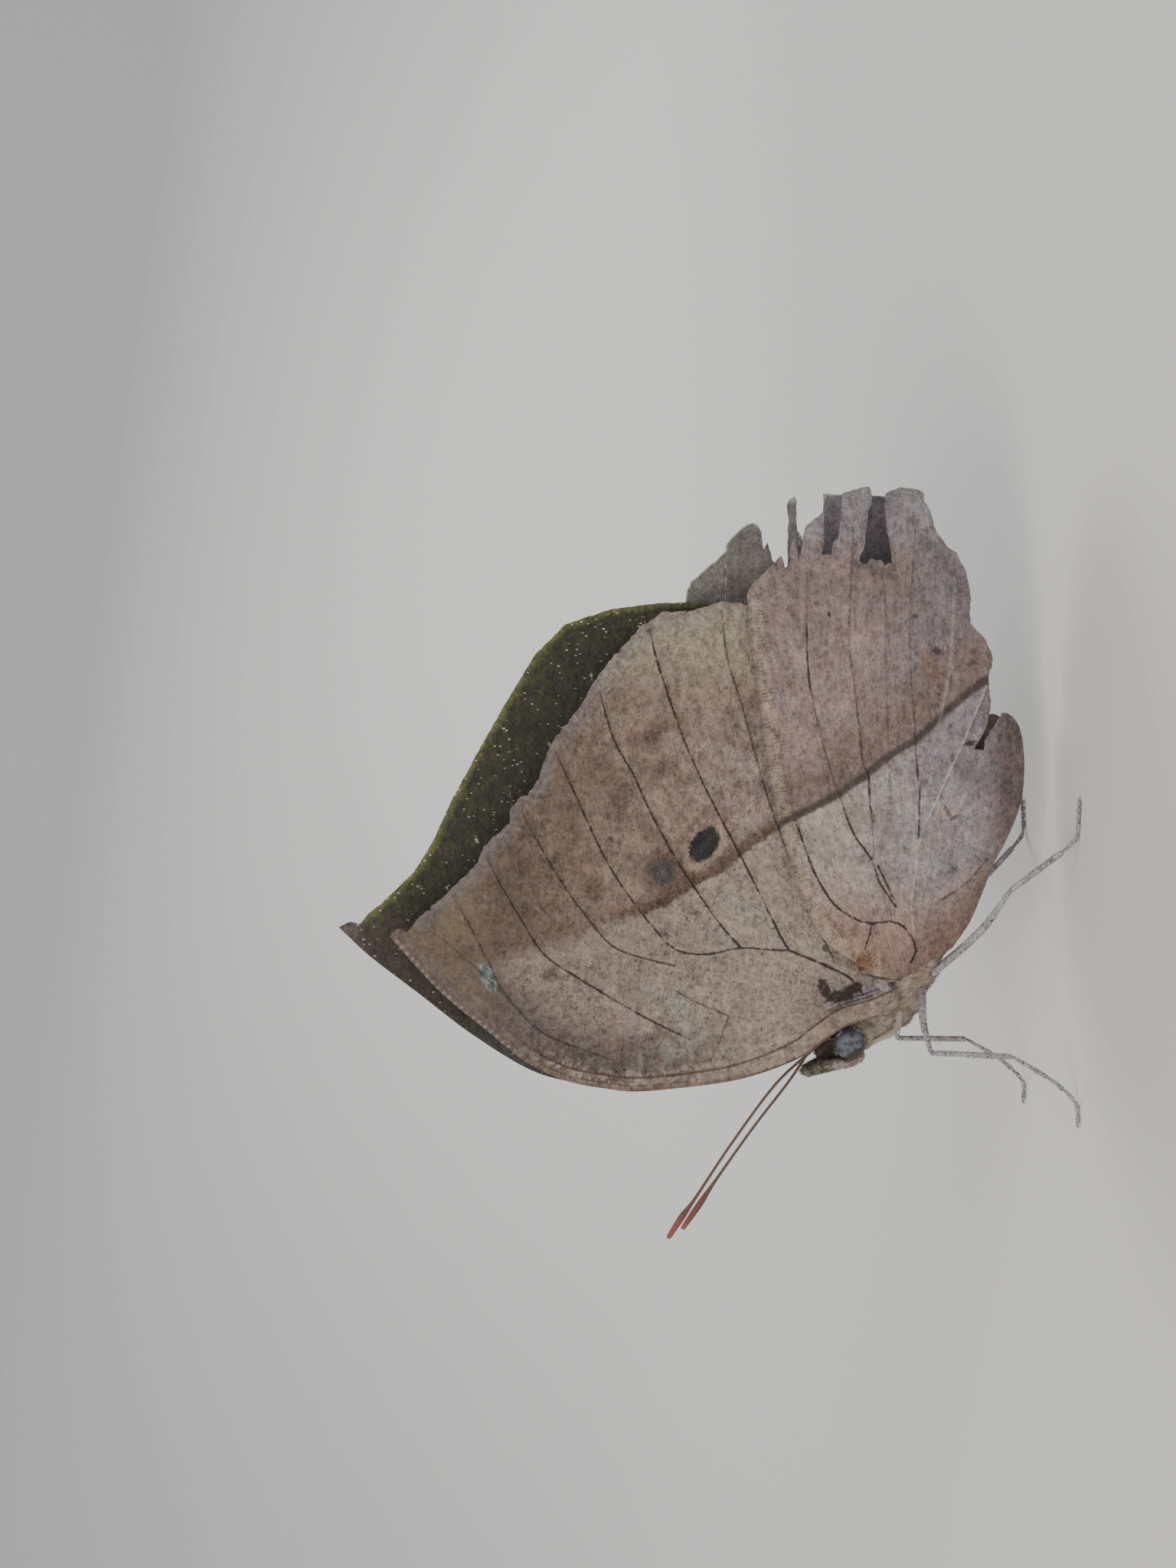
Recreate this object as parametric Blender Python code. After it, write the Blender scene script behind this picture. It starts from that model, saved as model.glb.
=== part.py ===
"""A leaf-winged butterfly at rest with its wings shut, life size, head towards -X and feet on z = 0."""

import math

import bmesh
import bpy
from mathutils import Matrix, Vector
from mathutils.geometry import delaunay_2d_cdt

# Driving sizes, in millimetres. Shapes are laid out in millimetres and made 1000 times smaller.
MM = 0.001
GAP = 0.3
WING_HALF = 0.26
VEIN_HALF = 0.42
VEIN_REACH = 0.36
WING_STEP = 3.4
FORE_APART = 1.0
HIND_APART = 2.25
OPENING = 0.022
THORAX_AT = Vector((1.8, 0.0, 15.7))
THORAX_PITCH = math.radians(36.9)
THORAX_HALF_LENGTH = 6.2
THORAX_HALF_WIDTH = 2.2
THORAX_BACK = 2.6
THORAX_BELLY = 3.9
HEAD_AT = Vector((-5.1, 0.0, 20.5))
HEAD_RADII = Vector((1.5, 1.35, 1.6))
EYE_AT = Vector((-5.35, 1.4, 20.7))
EYE_RADII = Vector((1.52, 1.1, 1.58))
ABDOMEN_RADIUS = 1.75
ANTENNA_RADIUS = 0.25
CLUB_RADIUS = 0.38

for old in list(bpy.data.objects):
    bpy.data.objects.remove(old, do_unlink=True)
for old in list(bpy.data.collections):
    bpy.data.collections.remove(old)

parts = bpy.data.collections.new("leafwing_butterfly")
bpy.context.scene.collection.children.link(parts)
tools = bpy.data.collections.new("joining_shapes")
tools.hide_render = True
bpy.context.scene.collection.children.link(tools)


def paint(name, colour, roughness):
    """A plain Principled material for one node."""
    material = bpy.data.materials.new(name)
    material.use_nodes = True
    shader = material.node_tree.nodes["Principled BSDF"]
    shader.inputs["Base Color"].default_value = (*colour, 1.0)
    shader.inputs["Roughness"].default_value = roughness
    return material


def place(name, mesh, colour, roughness=0.8):
    """Puts a mesh into the scene as one node with its own material."""
    node = bpy.data.objects.new(name, mesh)
    mesh.materials.clear()
    mesh.materials.append(paint(name, colour, roughness))
    parts.objects.link(node)
    return node


def helper(name, mesh):
    """Keeps a joining or cutting shape out of the render."""
    shape = bpy.data.objects.new(name, mesh)
    shape.display_type = "WIRE"
    shape.hide_render = True
    tools.objects.link(shape)
    return shape


def largest_body(mesh):
    """Drops every closed surface but the largest, so that a join leaves one body."""
    work = bmesh.new()
    work.from_mesh(mesh)
    left = set(work.verts)
    groups = []
    while left:
        seed = left.pop()
        group = {seed}
        queue = [seed]
        while queue:
            for edge in queue.pop().link_edges:
                for other in edge.verts:
                    if other in left:
                        left.remove(other)
                        group.add(other)
                        queue.append(other)
        groups.append(group)
    keep = max(groups, key=len)
    bmesh.ops.delete(work, geom=[v for v in work.verts if v not in keep], context="VERTS")
    bmesh.ops.triangulate(work, faces=work.faces)
    work.to_mesh(mesh)
    work.free()
    return mesh


def joined(name, first, others, operation="UNION"):
    """One Boolean on a collection of closed meshes, applied, as a new mesh."""
    pool = bpy.data.collections.new(name + "_pieces")
    pool.hide_render = True
    tools.children.link(pool)
    for index, mesh in enumerate(others):
        piece = bpy.data.objects.new(f"{name}_piece_{index}", mesh)
        piece.display_type = "WIRE"
        piece.hide_render = True
        pool.objects.link(piece)
    base = helper(name + "_start", first)
    cut = base.modifiers.new("join", "BOOLEAN")
    cut.operation = operation
    cut.operand_type = "COLLECTION"
    cut.collection = pool
    cut.solver = "EXACT"
    bpy.context.view_layer.update()
    graph = bpy.context.evaluated_depsgraph_get()
    mesh = bpy.data.meshes.new_from_object(base.evaluated_get(graph))
    base.modifiers.clear()
    return largest_body(mesh)


def ball(centre, radii, around=20, along=14):
    """An ellipsoid with its long way round split evenly."""
    work = bmesh.new()
    bmesh.ops.create_uvsphere(work, u_segments=around, v_segments=along, radius=1.0)
    bmesh.ops.scale(work, vec=radii, verts=work.verts)
    bmesh.ops.translate(work, vec=centre, verts=work.verts)
    bmesh.ops.scale(work, vec=(MM, MM, MM), verts=work.verts)
    mesh = bpy.data.meshes.new("ball")
    work.to_mesh(mesh)
    work.free()
    return mesh


def smooth(points, step, closed=False):
    """Points along a soft curve through the given ones, about one step apart."""
    spots = [Vector(p) for p in points]
    if closed:
        spots = [spots[-1], *spots, spots[0], spots[1]]
    else:
        spots = [2 * spots[0] - spots[1], *spots, 2 * spots[-1] - spots[-2]]
    out = []
    for a, b, c, d in zip(spots, spots[1:], spots[2:], spots[3:]):
        pieces = max(1, round((c - b).length / step))
        for i in range(pieces):
            t = i / pieces
            out.append(
                0.5
                * (2 * b + t * (c - a) + t * t * (2 * a - 5 * b + 4 * c - d) + t**3 * (3 * b - a - 3 * c + d))
            )
    if not closed:
        out.append(spots[-2])
    return out


def tube(name, points, radii, step=1.4, sides=10, flatten=None):
    """A round bar along a soft curve, with a radius at each given point and domed ends."""
    spots = smooth([(*p, r) for p, r in zip(map(tuple, points), radii)], step)
    rings = [(Vector(p[:3]), p[3]) for p in spots]
    first, last = rings[0], rings[-1]
    start = (first[0] - rings[1][0]).normalized()
    end = (last[0] - rings[-2][0]).normalized()
    rings[0] = (first[0] - start * first[1] * 0.35, first[1])
    rings.insert(0, (first[0], first[1] * 0.6))
    rings[-1] = (last[0] - end * last[1] * 0.35, last[1])
    rings.append((last[0], last[1] * 0.6))
    curve = bpy.data.curves.new(name, "CURVE")
    curve.dimensions = "3D"
    curve.use_fill_caps = True
    curve.bevel_mode = "ROUND"
    curve.bevel_depth = MM
    curve.bevel_resolution = sides // 2 - 2
    spline = curve.splines.new("POLY")
    spline.points.add(len(rings) - 1)
    for spot, (at, radius) in zip(spline.points, rings):
        spot.co = (*(at * MM), 1.0)
        spot.radius = radius
    path = bpy.data.objects.new(name + "_path", curve)
    tools.objects.link(path)
    path.hide_render = True
    bpy.context.view_layer.update()
    graph = bpy.context.evaluated_depsgraph_get()
    mesh = bpy.data.meshes.new_from_object(path.evaluated_get(graph))
    bpy.data.objects.remove(path, do_unlink=True)
    work = bmesh.new()
    work.from_mesh(mesh)
    bmesh.ops.remove_doubles(work, verts=work.verts, dist=1e-6)
    if flatten is not None:
        for vert in work.verts:
            vert.co.z = max(vert.co.z, flatten * MM)
    bmesh.ops.recalc_face_normals(work, faces=work.faces)
    work.to_mesh(mesh)
    work.free()
    return mesh


# Wings. Each is laid out flat in X and Z, and leans and bends in Y by its own height function.
# Both faces take the same triangles, and every vein is a crest with a foot line on each side.
HINGE_AT = Vector((-3.0, 19.2))
HINGE_OUT = Vector((0.767, 0.642))


def ripple(x, z):
    """The faint waves of a worn membrane, the same for both wings of a side."""
    return 0.16 * math.sin(0.16 * x + 0.9) * math.sin(0.13 * z + 0.4)


def fore_apart(x, z):
    d = (Vector((x, z)) - HINGE_AT).dot(HINGE_OUT)
    lean = OPENING * max(0.0, d - 10.0)
    wave = ripple(x, z) * min(1.0, max(0.0, d / 20.0))
    return FORE_APART + 2.0 * math.exp(-((max(d, 0.0) / 5.2) ** 2)) + lean + wave


def belly_line(x):
    """Height of the abdomen's middle over the floor, which the hindwing folds round."""
    return 5.4 + 0.021 * (x - 22.5) ** 2


def hind_apart(x, z):
    d = (Vector((x, z)) - HINGE_AT).dot(HINGE_OUT)
    lean = OPENING * max(0.0, d - 10.0)
    wave = ripple(x, z) * min(1.0, max(0.0, d / 20.0))
    flat = HIND_APART + 1.15 * math.exp(-((max(d, 0.0) / 8.5) ** 2)) + lean + wave
    below = min(max(0.0, belly_line(x) - z), 2.2) * min(1.0, max(0.0, (x - 5.0) / 4.0))
    return flat * math.sqrt(1.0 - (below / 2.75) ** 2)


def to_segment(p, a, b):
    along = b - a
    t = min(1.0, max(0.0, (p - a).dot(along) / along.length_squared))
    return (p - a - along * t).length


def inside(p, ring):
    hit = False
    for a, b in zip(ring, ring[1:] + ring[:1]):
        if (a.y > p.y) != (b.y > p.y) and p.x < a.x + (p.y - a.y) / (b.y - a.y) * (b.x - a.x):
            hit = not hit
    return hit


def wing(name, outline, veins, apart, side, colour):
    """One closed membrane from its outline and veins, on the side -1 (left) or 1 (right)."""
    spots = [Vector(p) for p in outline]
    edges = [(i, (i + 1) % len(spots)) for i in range(len(spots))]
    ring = list(range(len(spots)))
    rim = [spots[i] for i in ring]
    crests = []
    for line in veins:
        line = smooth(line, WING_STEP)
        while len(line) > 2 and (not inside(line[-1], rim) or edge_distance(line[-1], rim) < 0.55):
            line.pop()
        crests += list(zip(line, line[1:]))
        for shift in (-VEIN_REACH, 0.0, VEIN_REACH):
            start = len(spots)
            for i, p in enumerate(line):
                ahead = line[min(i + 1, len(line) - 1)] - line[max(i - 1, 0)]
                across = Vector((-ahead.y, ahead.x)).normalized()
                spots.append(p + across * shift)
            edges += [(i, i + 1) for i in range(start, len(spots) - 1)]
    step = WING_STEP * 1.25
    low = Vector((min(p.x for p in rim), min(p.y for p in rim)))
    high = Vector((max(p.x for p in rim), max(p.y for p in rim)))
    for row in range(int((high.y - low.y) / step) + 2):
        for column in range(int((high.x - low.x) / step) + 2):
            p = low + Vector(((column + 0.5 * (row % 2)) * step, row * step * 0.87))
            if not inside(p, rim) or edge_distance(p, rim) < 1.3:
                continue
            if min(to_segment(p, a, b) for a, b in crests) > 1.6:
                spots.append(p)
    flat, _, faces, *_ = delaunay_2d_cdt(spots, edges, [ring], 1, 1e-3)
    work = bmesh.new()
    upper = []
    lower = []
    for p in flat:
        x, z = p.x, p.y
        near = min(to_segment(p, a, b) for a, b in crests)
        half = WING_HALF + (VEIN_HALF - WING_HALF) * max(0.0, 1.0 - near / (VEIN_REACH * 0.95))
        slope_x = (apart(x + 0.2, z) - apart(x - 0.2, z)) / 0.4
        slope_z = (apart(x, z + 0.2) - apart(x, z - 0.2)) / 0.4
        out = Vector((-slope_x, 1.0, -slope_z)).normalized()
        middle = Vector((x, apart(x, z), z))
        for stack, way in ((upper, 1.0), (lower, -1.0)):
            at = middle + out * half * way
            stack.append(work.verts.new(Vector((at.x, at.y * side, at.z)) * MM))
    used = {}
    for face in faces:
        for i, a in enumerate(face):
            b = face[(i + 1) % len(face)]
            used[(a, b)] = True
        work.faces.new([upper[i] for i in face])
        work.faces.new([lower[i] for i in reversed(face)])
    for a, b in used:
        if (b, a) not in used:
            work.faces.new([upper[b], upper[a], lower[a]])
            work.faces.new([upper[b], lower[a], lower[b]])
    bmesh.ops.delete(work, geom=[v for v in work.verts if not v.link_faces], context="VERTS")
    bmesh.ops.recalc_face_normals(work, faces=work.faces)
    mesh = bpy.data.meshes.new(name)
    work.to_mesh(mesh)
    work.free()
    return place(name, mesh, colour, 0.85)


def edge_distance(p, rim):
    return min(to_segment(p, a, b) for a, b in zip(rim, rim[1:] + rim[:1]))


# Forewings. The left one is worn back along its outer edge, and the right one keeps its pointed tip.
fore_costa = [(-3.0, 19.3), (-4.4, 22.6), (-6.7, 25.5), (-8.1, 29.3)]
fore_costa += [(-9.1, 33.7), (-9.9, 41.1), (-9.6, 44.6)]
left_costa = fore_costa + [(-8.8, 48.5), (-7.0, 52.3), (-3.8, 56.3), (0.2, 61.0), (5.3, 65.6)]
right_costa = fore_costa + [(-9.0, 48.5), (-7.7, 52.3), (-4.3, 57.7), (-0.5, 62.6), (3.2, 67.4), (6.1, 70.5)]
left_termen = [
    (6.4, 64.1), (9.2, 60.4), (12.2, 57.4), (14.0, 56.6),
    (16.2, 54.1), (18.0, 53.6), (18.8, 53.0), (21.0, 51.1),
    (24.4, 49.7), (27.7, 47.1), (29.9, 45.9), (32.2, 44.1),
    (35.5, 41.1), (36.8, 38.8), (36.7, 36.9), (37.8, 33.2),
]
right_termen = [
    (7.2, 68.0), (8.9, 66.0), (11.4, 63.2), (14.3, 61.4),
    (18.4, 59.5), (22.5, 57.3), (27.8, 54.3), (32.7, 51.3),
    (35.7, 48.3), (37.2, 43.7), (37.8, 39.2), (37.9, 34.0),
]
fore_inner = [(37.4, 29.8), (31.0, 26.8), (20.0, 24.0), (11.0, 22.0), (5.2, 21.1), (2.0, 20.5), (-0.2, 18.4)]
fore_veins = [
    [(-0.6, 19.6), (0.9, 21.0), (2.2, 23.0), (3.7, 26.6)],
    [(3.7, 26.6), (5.0, 27.4), (8.4, 29.1), (12.5, 31.2), (20.7, 35.5), (29.4, 38.9), (36.6, 40.7)],
    [(3.7, 26.6), (4.0, 31.4), (3.4, 34.8), (3.9, 37.9), (6.5, 40.4), (13.6, 45.2), (24.0, 50.0)],
    [(4.0, 31.4), (6.5, 33.6), (12.5, 37.7), (21.2, 42.2), (31.0, 45.9)],
    [(2.3, 37.9), (3.1, 41.1), (4.3, 44.1), (7.3, 46.7), (14.7, 51.5), (19.0, 53.8)],
    [(-4.9, 36.4), (-2.5, 41.2), (0.9, 46.9), (3.5, 50.7), (7.0, 53.0), (15.0, 57.3)],
    [(-6.8, 44.1), (-4.4, 50.3), (-2.4, 52.7), (2.6, 56.0), (10.0, 60.0)],
    [(-0.3, 54.7), (2.4, 57.5), (6.3, 62.6)],
    [(-2.0, 20.6), (-4.0, 24.5), (-6.2, 28.4), (-7.9, 36.0), (-8.0, 45.0), (-5.8, 51.7), (-1.2, 58.0)],
    [(2.6, 22.2), (9.0, 25.0), (18.1, 28.6), (27.4, 31.3), (37.0, 33.4)],
]

# Hindwings. Both have torn outer lobes, and both have lost the short tail.
hind_root = [(4.0, 10.9), (2.4, 13.6), (1.0, 15.9)]
left_lead = [(0.6, 17.9), (2.2, 19.8), (3.6, 22.0), (6.5, 24.4)]
left_lead += [(13.2, 27.0), (21.8, 28.9), (29.2, 30.0), (37.4, 31.0)]
right_lead = [(0.6, 17.9), (2.3, 20.2), (5.2, 23.6), (12.0, 27.6), (20.0, 30.8), (29.0, 34.0), (37.0, 36.3)]
left_margin = [
    (39.6, 30.4), (42.2, 27.7), (40.8, 27.2), (43.9, 26.4),
    (41.7, 25.9), (44.6, 25.4), (46.5, 23.5), (42.3, 23.6),
    (42.3, 22.7), (43.9, 22.1), (48.3, 21.7), (49.0, 19.0),
    (44.9, 19.2), (41.6, 19.9), (41.6, 16.7), (45.0, 17.3),
    (48.7, 17.4), (49.1, 15.6), (48.5, 13.3), (45.8, 12.4),
    (42.8, 10.1), (40.9, 9.1), (38.3, 8.7), (36.8, 9.0),
    (34.9, 8.1), (32.2, 6.6), (30.1, 6.9), (27.4, 7.2), (25.3, 7.8), (23.3, 8.5), (23.3, 7.5), (25.2, 6.9),
]
right_margin = [
    (38.8, 36.2), (41.1, 34.5), (43.0, 32.4), (45.0, 31.1),
    (45.9, 29.5), (45.4, 28.8), (43.0, 28.3), (41.3, 26.8),
    (41.6, 26.1), (46.4, 26.0), (48.0, 26.1), (48.6, 25.3),
    (46.4, 25.1), (44.6, 24.7), (43.3, 24.2), (45.2, 22.9),
    (48.9, 22.5), (49.0, 20.0), (48.6, 16.3), (48.0, 13.9), (45.6, 12.0),
    (42.6, 9.9), (38.4, 8.6), (35.0, 7.9), (32.0, 6.6),
    (28.6, 7.0), (25.6, 7.9), (25.4, 6.9),
]
fold_edge = [
    (27.0, 5.7), (26.6, 4.5), (24.6, 3.5), (22.0, 3.25), (18.4, 3.6),
    (14.8, 5.2), (12.2, 6.7), (9.2, 7.9), (6.6, 9.1),
]
hind_veins = [
    [(2.6, 16.3), (4.4, 17.0), (6.4, 18.7), (7.6, 21.7),
     (12.1, 24.7), (21.0, 27.4), (33.7, 29.3), (38.6, 29.6)],
    [(6.4, 18.7), (4.8, 19.2), (3.9, 20.4)],
    [(4.4, 15.3), (9.2, 16.9), (14.0, 19.8), (21.2, 22.7), (29.6, 24.5), (40.6, 25.0)],
    [(11.2, 17.8), (13.6, 18.6), (20.2, 19.0), (30.7, 20.6), (45.6, 20.6)],
    [(18.4, 16.6), (25.0, 17.1), (31.5, 17.4), (40.4, 17.7)],
    [(4.0, 14.2), (8.8, 14.7), (15.8, 13.9), (21.8, 14.1), (31.7, 14.9), (46.4, 14.2)],
    [(18.2, 14.2), (21.8, 13.6), (26.0, 12.0), (30.3, 11.1), (41.6, 10.4)],
    [(5.0, 13.3), (12.8, 13.5), (19.3, 11.4), (24.0, 9.6), (31.0, 7.4)],
]

WING_BROWN = (0.30, 0.22, 0.17)
for side, word in ((-1, "left"), (1, "right")):
    costa = left_costa if side < 0 else right_costa
    termen = left_termen if side < 0 else right_termen
    rim = smooth(costa, 2.6) + [Vector(p) for p in termen + fore_inner]
    wing("forewing_" + word, rim, fore_veins, fore_apart, side, WING_BROWN)
    lead = left_lead if side < 0 else right_lead
    margin = left_margin if side < 0 else right_margin
    rim = smooth(lead, 2.6) + [Vector(p) for p in margin + fold_edge + hind_root]
    wing("hindwing_" + word, rim, hind_veins, hind_apart, side, WING_BROWN)


# Thorax, pitched head up, with a shoulder under each wing root.
AXIS = Vector((math.cos(THORAX_PITCH), 0.0, -math.sin(THORAX_PITCH)))
BACK = Vector((math.sin(THORAX_PITCH), 0.0, math.cos(THORAX_PITCH)))


def girth(s):
    """Share of the full thorax section left at a place s along its length, -1 at the head end."""
    blunt = 4.4 if s < 0 else 2.4
    return math.sqrt(max(0.0, 1.0 - abs(s) ** blunt)) * (0.86 + 0.14 * math.cos(2.4 * (s - 0.15)))


def thorax_spot(s, turn, lift=0.0):
    """A point on the thorax: turn 0 is the belly line and 90 degrees is the side; lift moves it outwards."""
    share = girth(s)
    across = math.sin(turn)
    down = math.cos(turn)
    depth = THORAX_BELLY if down > 0 else THORAX_BACK
    out = Vector((0, 1, 0)) * across * (THORAX_HALF_WIDTH * share + lift)
    return THORAX_AT + AXIS * s * THORAX_HALF_LENGTH + out - BACK * down * (depth * share + lift)


def thorax_mesh():
    work = bmesh.new()
    stations = [-math.cos(math.pi * i / 16) for i in range(17)]
    rings = []
    for s in stations[1:-1]:
        rings.append([work.verts.new(thorax_spot(s, math.tau * j / 22) * MM) for j in range(22)])
    ends = [work.verts.new((THORAX_AT + AXIS * s * THORAX_HALF_LENGTH) * MM) for s in (-1, 1)]
    for low, high in zip(rings, rings[1:]):
        for j in range(22):
            work.faces.new([low[j], low[(j + 1) % 22], high[(j + 1) % 22], high[j]])
    for j in range(22):
        work.faces.new([ends[0], rings[0][(j + 1) % 22], rings[0][j]])
        work.faces.new([ends[1], rings[-1][j], rings[-1][(j + 1) % 22]])
    bmesh.ops.recalc_face_normals(work, faces=work.faces)
    mesh = bpy.data.meshes.new("thorax")
    work.to_mesh(mesh)
    work.free()
    return mesh


shoulders = []
for side in (-1, 1):
    root = fore_apart(-1.4, 18.9) - WING_HALF - GAP
    shoulders.append(ball(Vector((-1.6, side * (root - 1.1), 18.4)), (1.3, 1.1, 1.0), 14, 8))
    root = hind_apart(3.0, 13.4) - WING_HALF - GAP
    shoulders.append(ball(Vector((3.0, side * (root - 1.5), 13.4)), (1.6, 1.5, 1.7), 14, 8))
FUR = (0.33, 0.27, 0.19)
place("thorax", joined("thorax", thorax_mesh(), shoulders), FUR)

# Abdomen, in the trough of the folded hindwings.
tail_end = THORAX_AT + AXIS * (THORAX_HALF_LENGTH + GAP)
abdomen_path = [tail_end, (8.6, 0, 9.8), (12.0, 0, 7.9), (16.0, 0, 6.5)]
abdomen_path += [(20.0, 0, 5.7), (23.5, 0, 5.6), (25.4, 0, 5.9)]
abdomen_radii = [0.9, 1.45, ABDOMEN_RADIUS, ABDOMEN_RADIUS, 1.55, 1.0, 0.45]
place("abdomen", tube("abdomen", abdomen_path, abdomen_radii, 1.2, 16), (0.20, 0.14, 0.10))

# Head with two eyes set into it, two palps in front, and a small coiled tongue between them.
sockets = [ball(Vector((EYE_AT.x, side * EYE_AT.y, EYE_AT.z)), EYE_RADII, 24, 16) for side in (-1, 1)]
skull = ball(HEAD_AT, HEAD_RADII, 24, 16)
place("head", skull, FUR)
for side, word, mesh in ((-1, "left", sockets[0]), (1, "right", sockets[1])):
    seat = ball(HEAD_AT, HEAD_RADII + Vector((GAP, GAP, GAP)), 24, 16)
    place("eye_" + word, joined("eye_" + word, mesh, [seat], "DIFFERENCE"), (0.09, 0.085, 0.08), 0.35)


def head_spot(way, lift):
    """A point on the head in a direction from its middle, lifted off its surface."""
    way = Vector(way).normalized()
    reach = 1.0 / math.sqrt(sum((way[i] / HEAD_RADII[i]) ** 2 for i in range(3)))
    return HEAD_AT + way * (reach + lift)


for side, word in ((-1, "left"), (1, "right")):
    palp = [head_spot((-0.66, side * 0.36, -0.66), GAP)]
    palp += [(-6.95, side * 0.92, 19.4), (-7.65, side * 0.98, 20.7)]
    palp += [(-7.75, side * 0.95, 22.0), (-8.1, side * 0.85, 23.6), (-8.6, side * 0.75, 25.2)]
    place("palp_" + word, tube("palp_" + word, palp, [0.32, 0.45, 0.55, 0.6, 0.5, 0.2], 0.9), FUR)

coil_at = Vector((-7.55, 0.0, 20.15))
coil = [head_spot((-1.0, 0.0, 0.05), GAP)]
for i in range(14):
    turn = math.radians(60 + 32 * i)
    coil.append(coil_at + Vector((math.cos(turn), 0.0, math.sin(turn))) * (0.62 - 0.034 * i))
coil = coil[1:]
place("proboscis", tube("proboscis", coil, [0.17] * len(coil), 0.5, 8), (0.16, 0.09, 0.05), 0.5)

# Antennae: long and nearly straight, with a slim club; the right one hangs a little lower.
LEFT_FEELER = [
    (-6.3, 1.15, 24.6), (-9.4, 1.4, 28.1), (-15.0, 2.0, 32.5),
    (-20.2, 2.7, 36.2), (-21.9, 2.9, 37.5), (-23.9, 3.2, 38.9),
]
RIGHT_FEELER = [
    (-6.4, 1.15, 24.2), (-9.5, 1.4, 26.3), (-14.0, 2.0, 29.7),
    (-19.2, 2.7, 33.3), (-21.6, 2.9, 34.9), (-24.1, 3.2, 36.6),
]
for side, word, feeler in ((-1, "left", LEFT_FEELER), (1, "right", RIGHT_FEELER)):
    route = [head_spot((0.05, side * 0.42, 0.9), GAP), (-5.05, side * 1.0, 23.0)]
    route += [(at[0], side * at[1], at[2]) for at in feeler]
    radii = [ANTENNA_RADIUS] * 5 + [ANTENNA_RADIUS + 0.04, CLUB_RADIUS, 0.3]
    place("antenna_" + word, tube("antenna_" + word, route, radii, 1.5, 8), (0.10, 0.06, 0.04), 0.6)

# Legs: four walking legs, each in three pieces, and two short forelegs folded at the breast.
LEG = (0.42, 0.39, 0.34)


def leg(name, side, hip, knee, ankle, foot, thick, rise):
    """Femur, tibia and tarsus, each starting one gap past the end of the piece before it."""
    hip, knee, ankle = Vector(hip), Vector(knee), Vector(ankle)
    foot = [Vector(p) for p in foot]
    word = "left" if side < 0 else "right"
    bow = (hip + knee) / 2 + Vector((0, side * 0.3, rise))
    shank = (ankle - knee).normalized()
    toe = (foot[0] - ankle).normalized()
    pieces = (
        ("femur", [hip, bow, knee], [thick * 0.9, thick, thick * 0.8]),
        ("tibia", [knee + shank * (thick + GAP), (knee + ankle) / 2, ankle], [thick * t for t in (0.7, 0.72, 0.66)]),
        ("tarsus", [ankle + toe * (thick * 0.7 + GAP), *foot], [0.29] + [0.27] * len(foot)),
    )
    for part, route, radii in pieces:
        flat = 0.0 if part == "tarsus" else None
        mesh = tube(f"{name}_{part}_{word}", route, radii, 1.3, 8, flat)
        if part == "tarsus":
            settle(mesh)
        place(f"{name}_{part}_{word}", mesh, LEG)


def settle(mesh):
    """Gives the lying end of a foot a flat sole at z = 0."""
    for vert in mesh.vertices:
        if vert.co.z < 0.23 * MM:
            vert.co.z = 0.0


for side, word in ((-1, "left"), (1, "right")):
    turn = math.radians(40)
    hip = thorax_spot(-0.06, side * turn, GAP + 0.25)
    foot = [(-8.4, side * 9.3, 2.6), (-10.2, side * 9.5, 0.62)]
    foot += [(-11.2, side * 9.6, 0.24), (-12.8, side * 9.8, 0.24)]
    leg("midleg", side, hip, (-5.8, side * 7.5, 14.0), (-6.1, side * 9.0, 6.4), foot, 0.42, 0.4)
    hip = thorax_spot(0.34, side * turn, GAP + 0.25)
    foot = [(14.6, side * 9.6, 0.5), (15.4, side * 9.8, 0.24), (18.6, side * 10.3, 0.24)]
    leg("hindleg", side, hip, (9.7, side * 6.3, 5.9), (13.5, side * 9.1, 1.5), foot, 0.44, -0.7)
    turn = math.radians(50)
    hip = thorax_spot(-0.55, side * turn, GAP + 0.25)
    fold = [hip, (-4.2, side * 2.0, 15.9), (-5.2, side * 1.9, 17.3), (-5.6, side * 1.5, 18.3)]
    place("foreleg_" + word, tube("foreleg_" + word, fold, [0.3, 0.4, 0.36, 0.24], 0.9, 8), FUR)

# The origin goes to the middle of the footprint, on the floor.
bpy.context.view_layer.update()
corners = [node.matrix_world @ vert.co for node in parts.objects for vert in node.data.vertices]
low = Vector([min(c[i] for c in corners) for i in range(3)])
high = Vector([max(c[i] for c in corners) for i in range(3)])
shift = Vector((-(low.x + high.x) / 2, -(low.y + high.y) / 2, -low.z))
for node in parts.objects:
    node.data.transform(Matrix.Translation(shift))
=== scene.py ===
"""The looks of a leaf-winged butterfly at rest, wings shut, seen from its left with the picture turned a quarter."""

import math

import bmesh
import bpy
import numpy as np
from mathutils import Matrix, Vector
from mathutils.geometry import delaunay_2d_cdt


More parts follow.
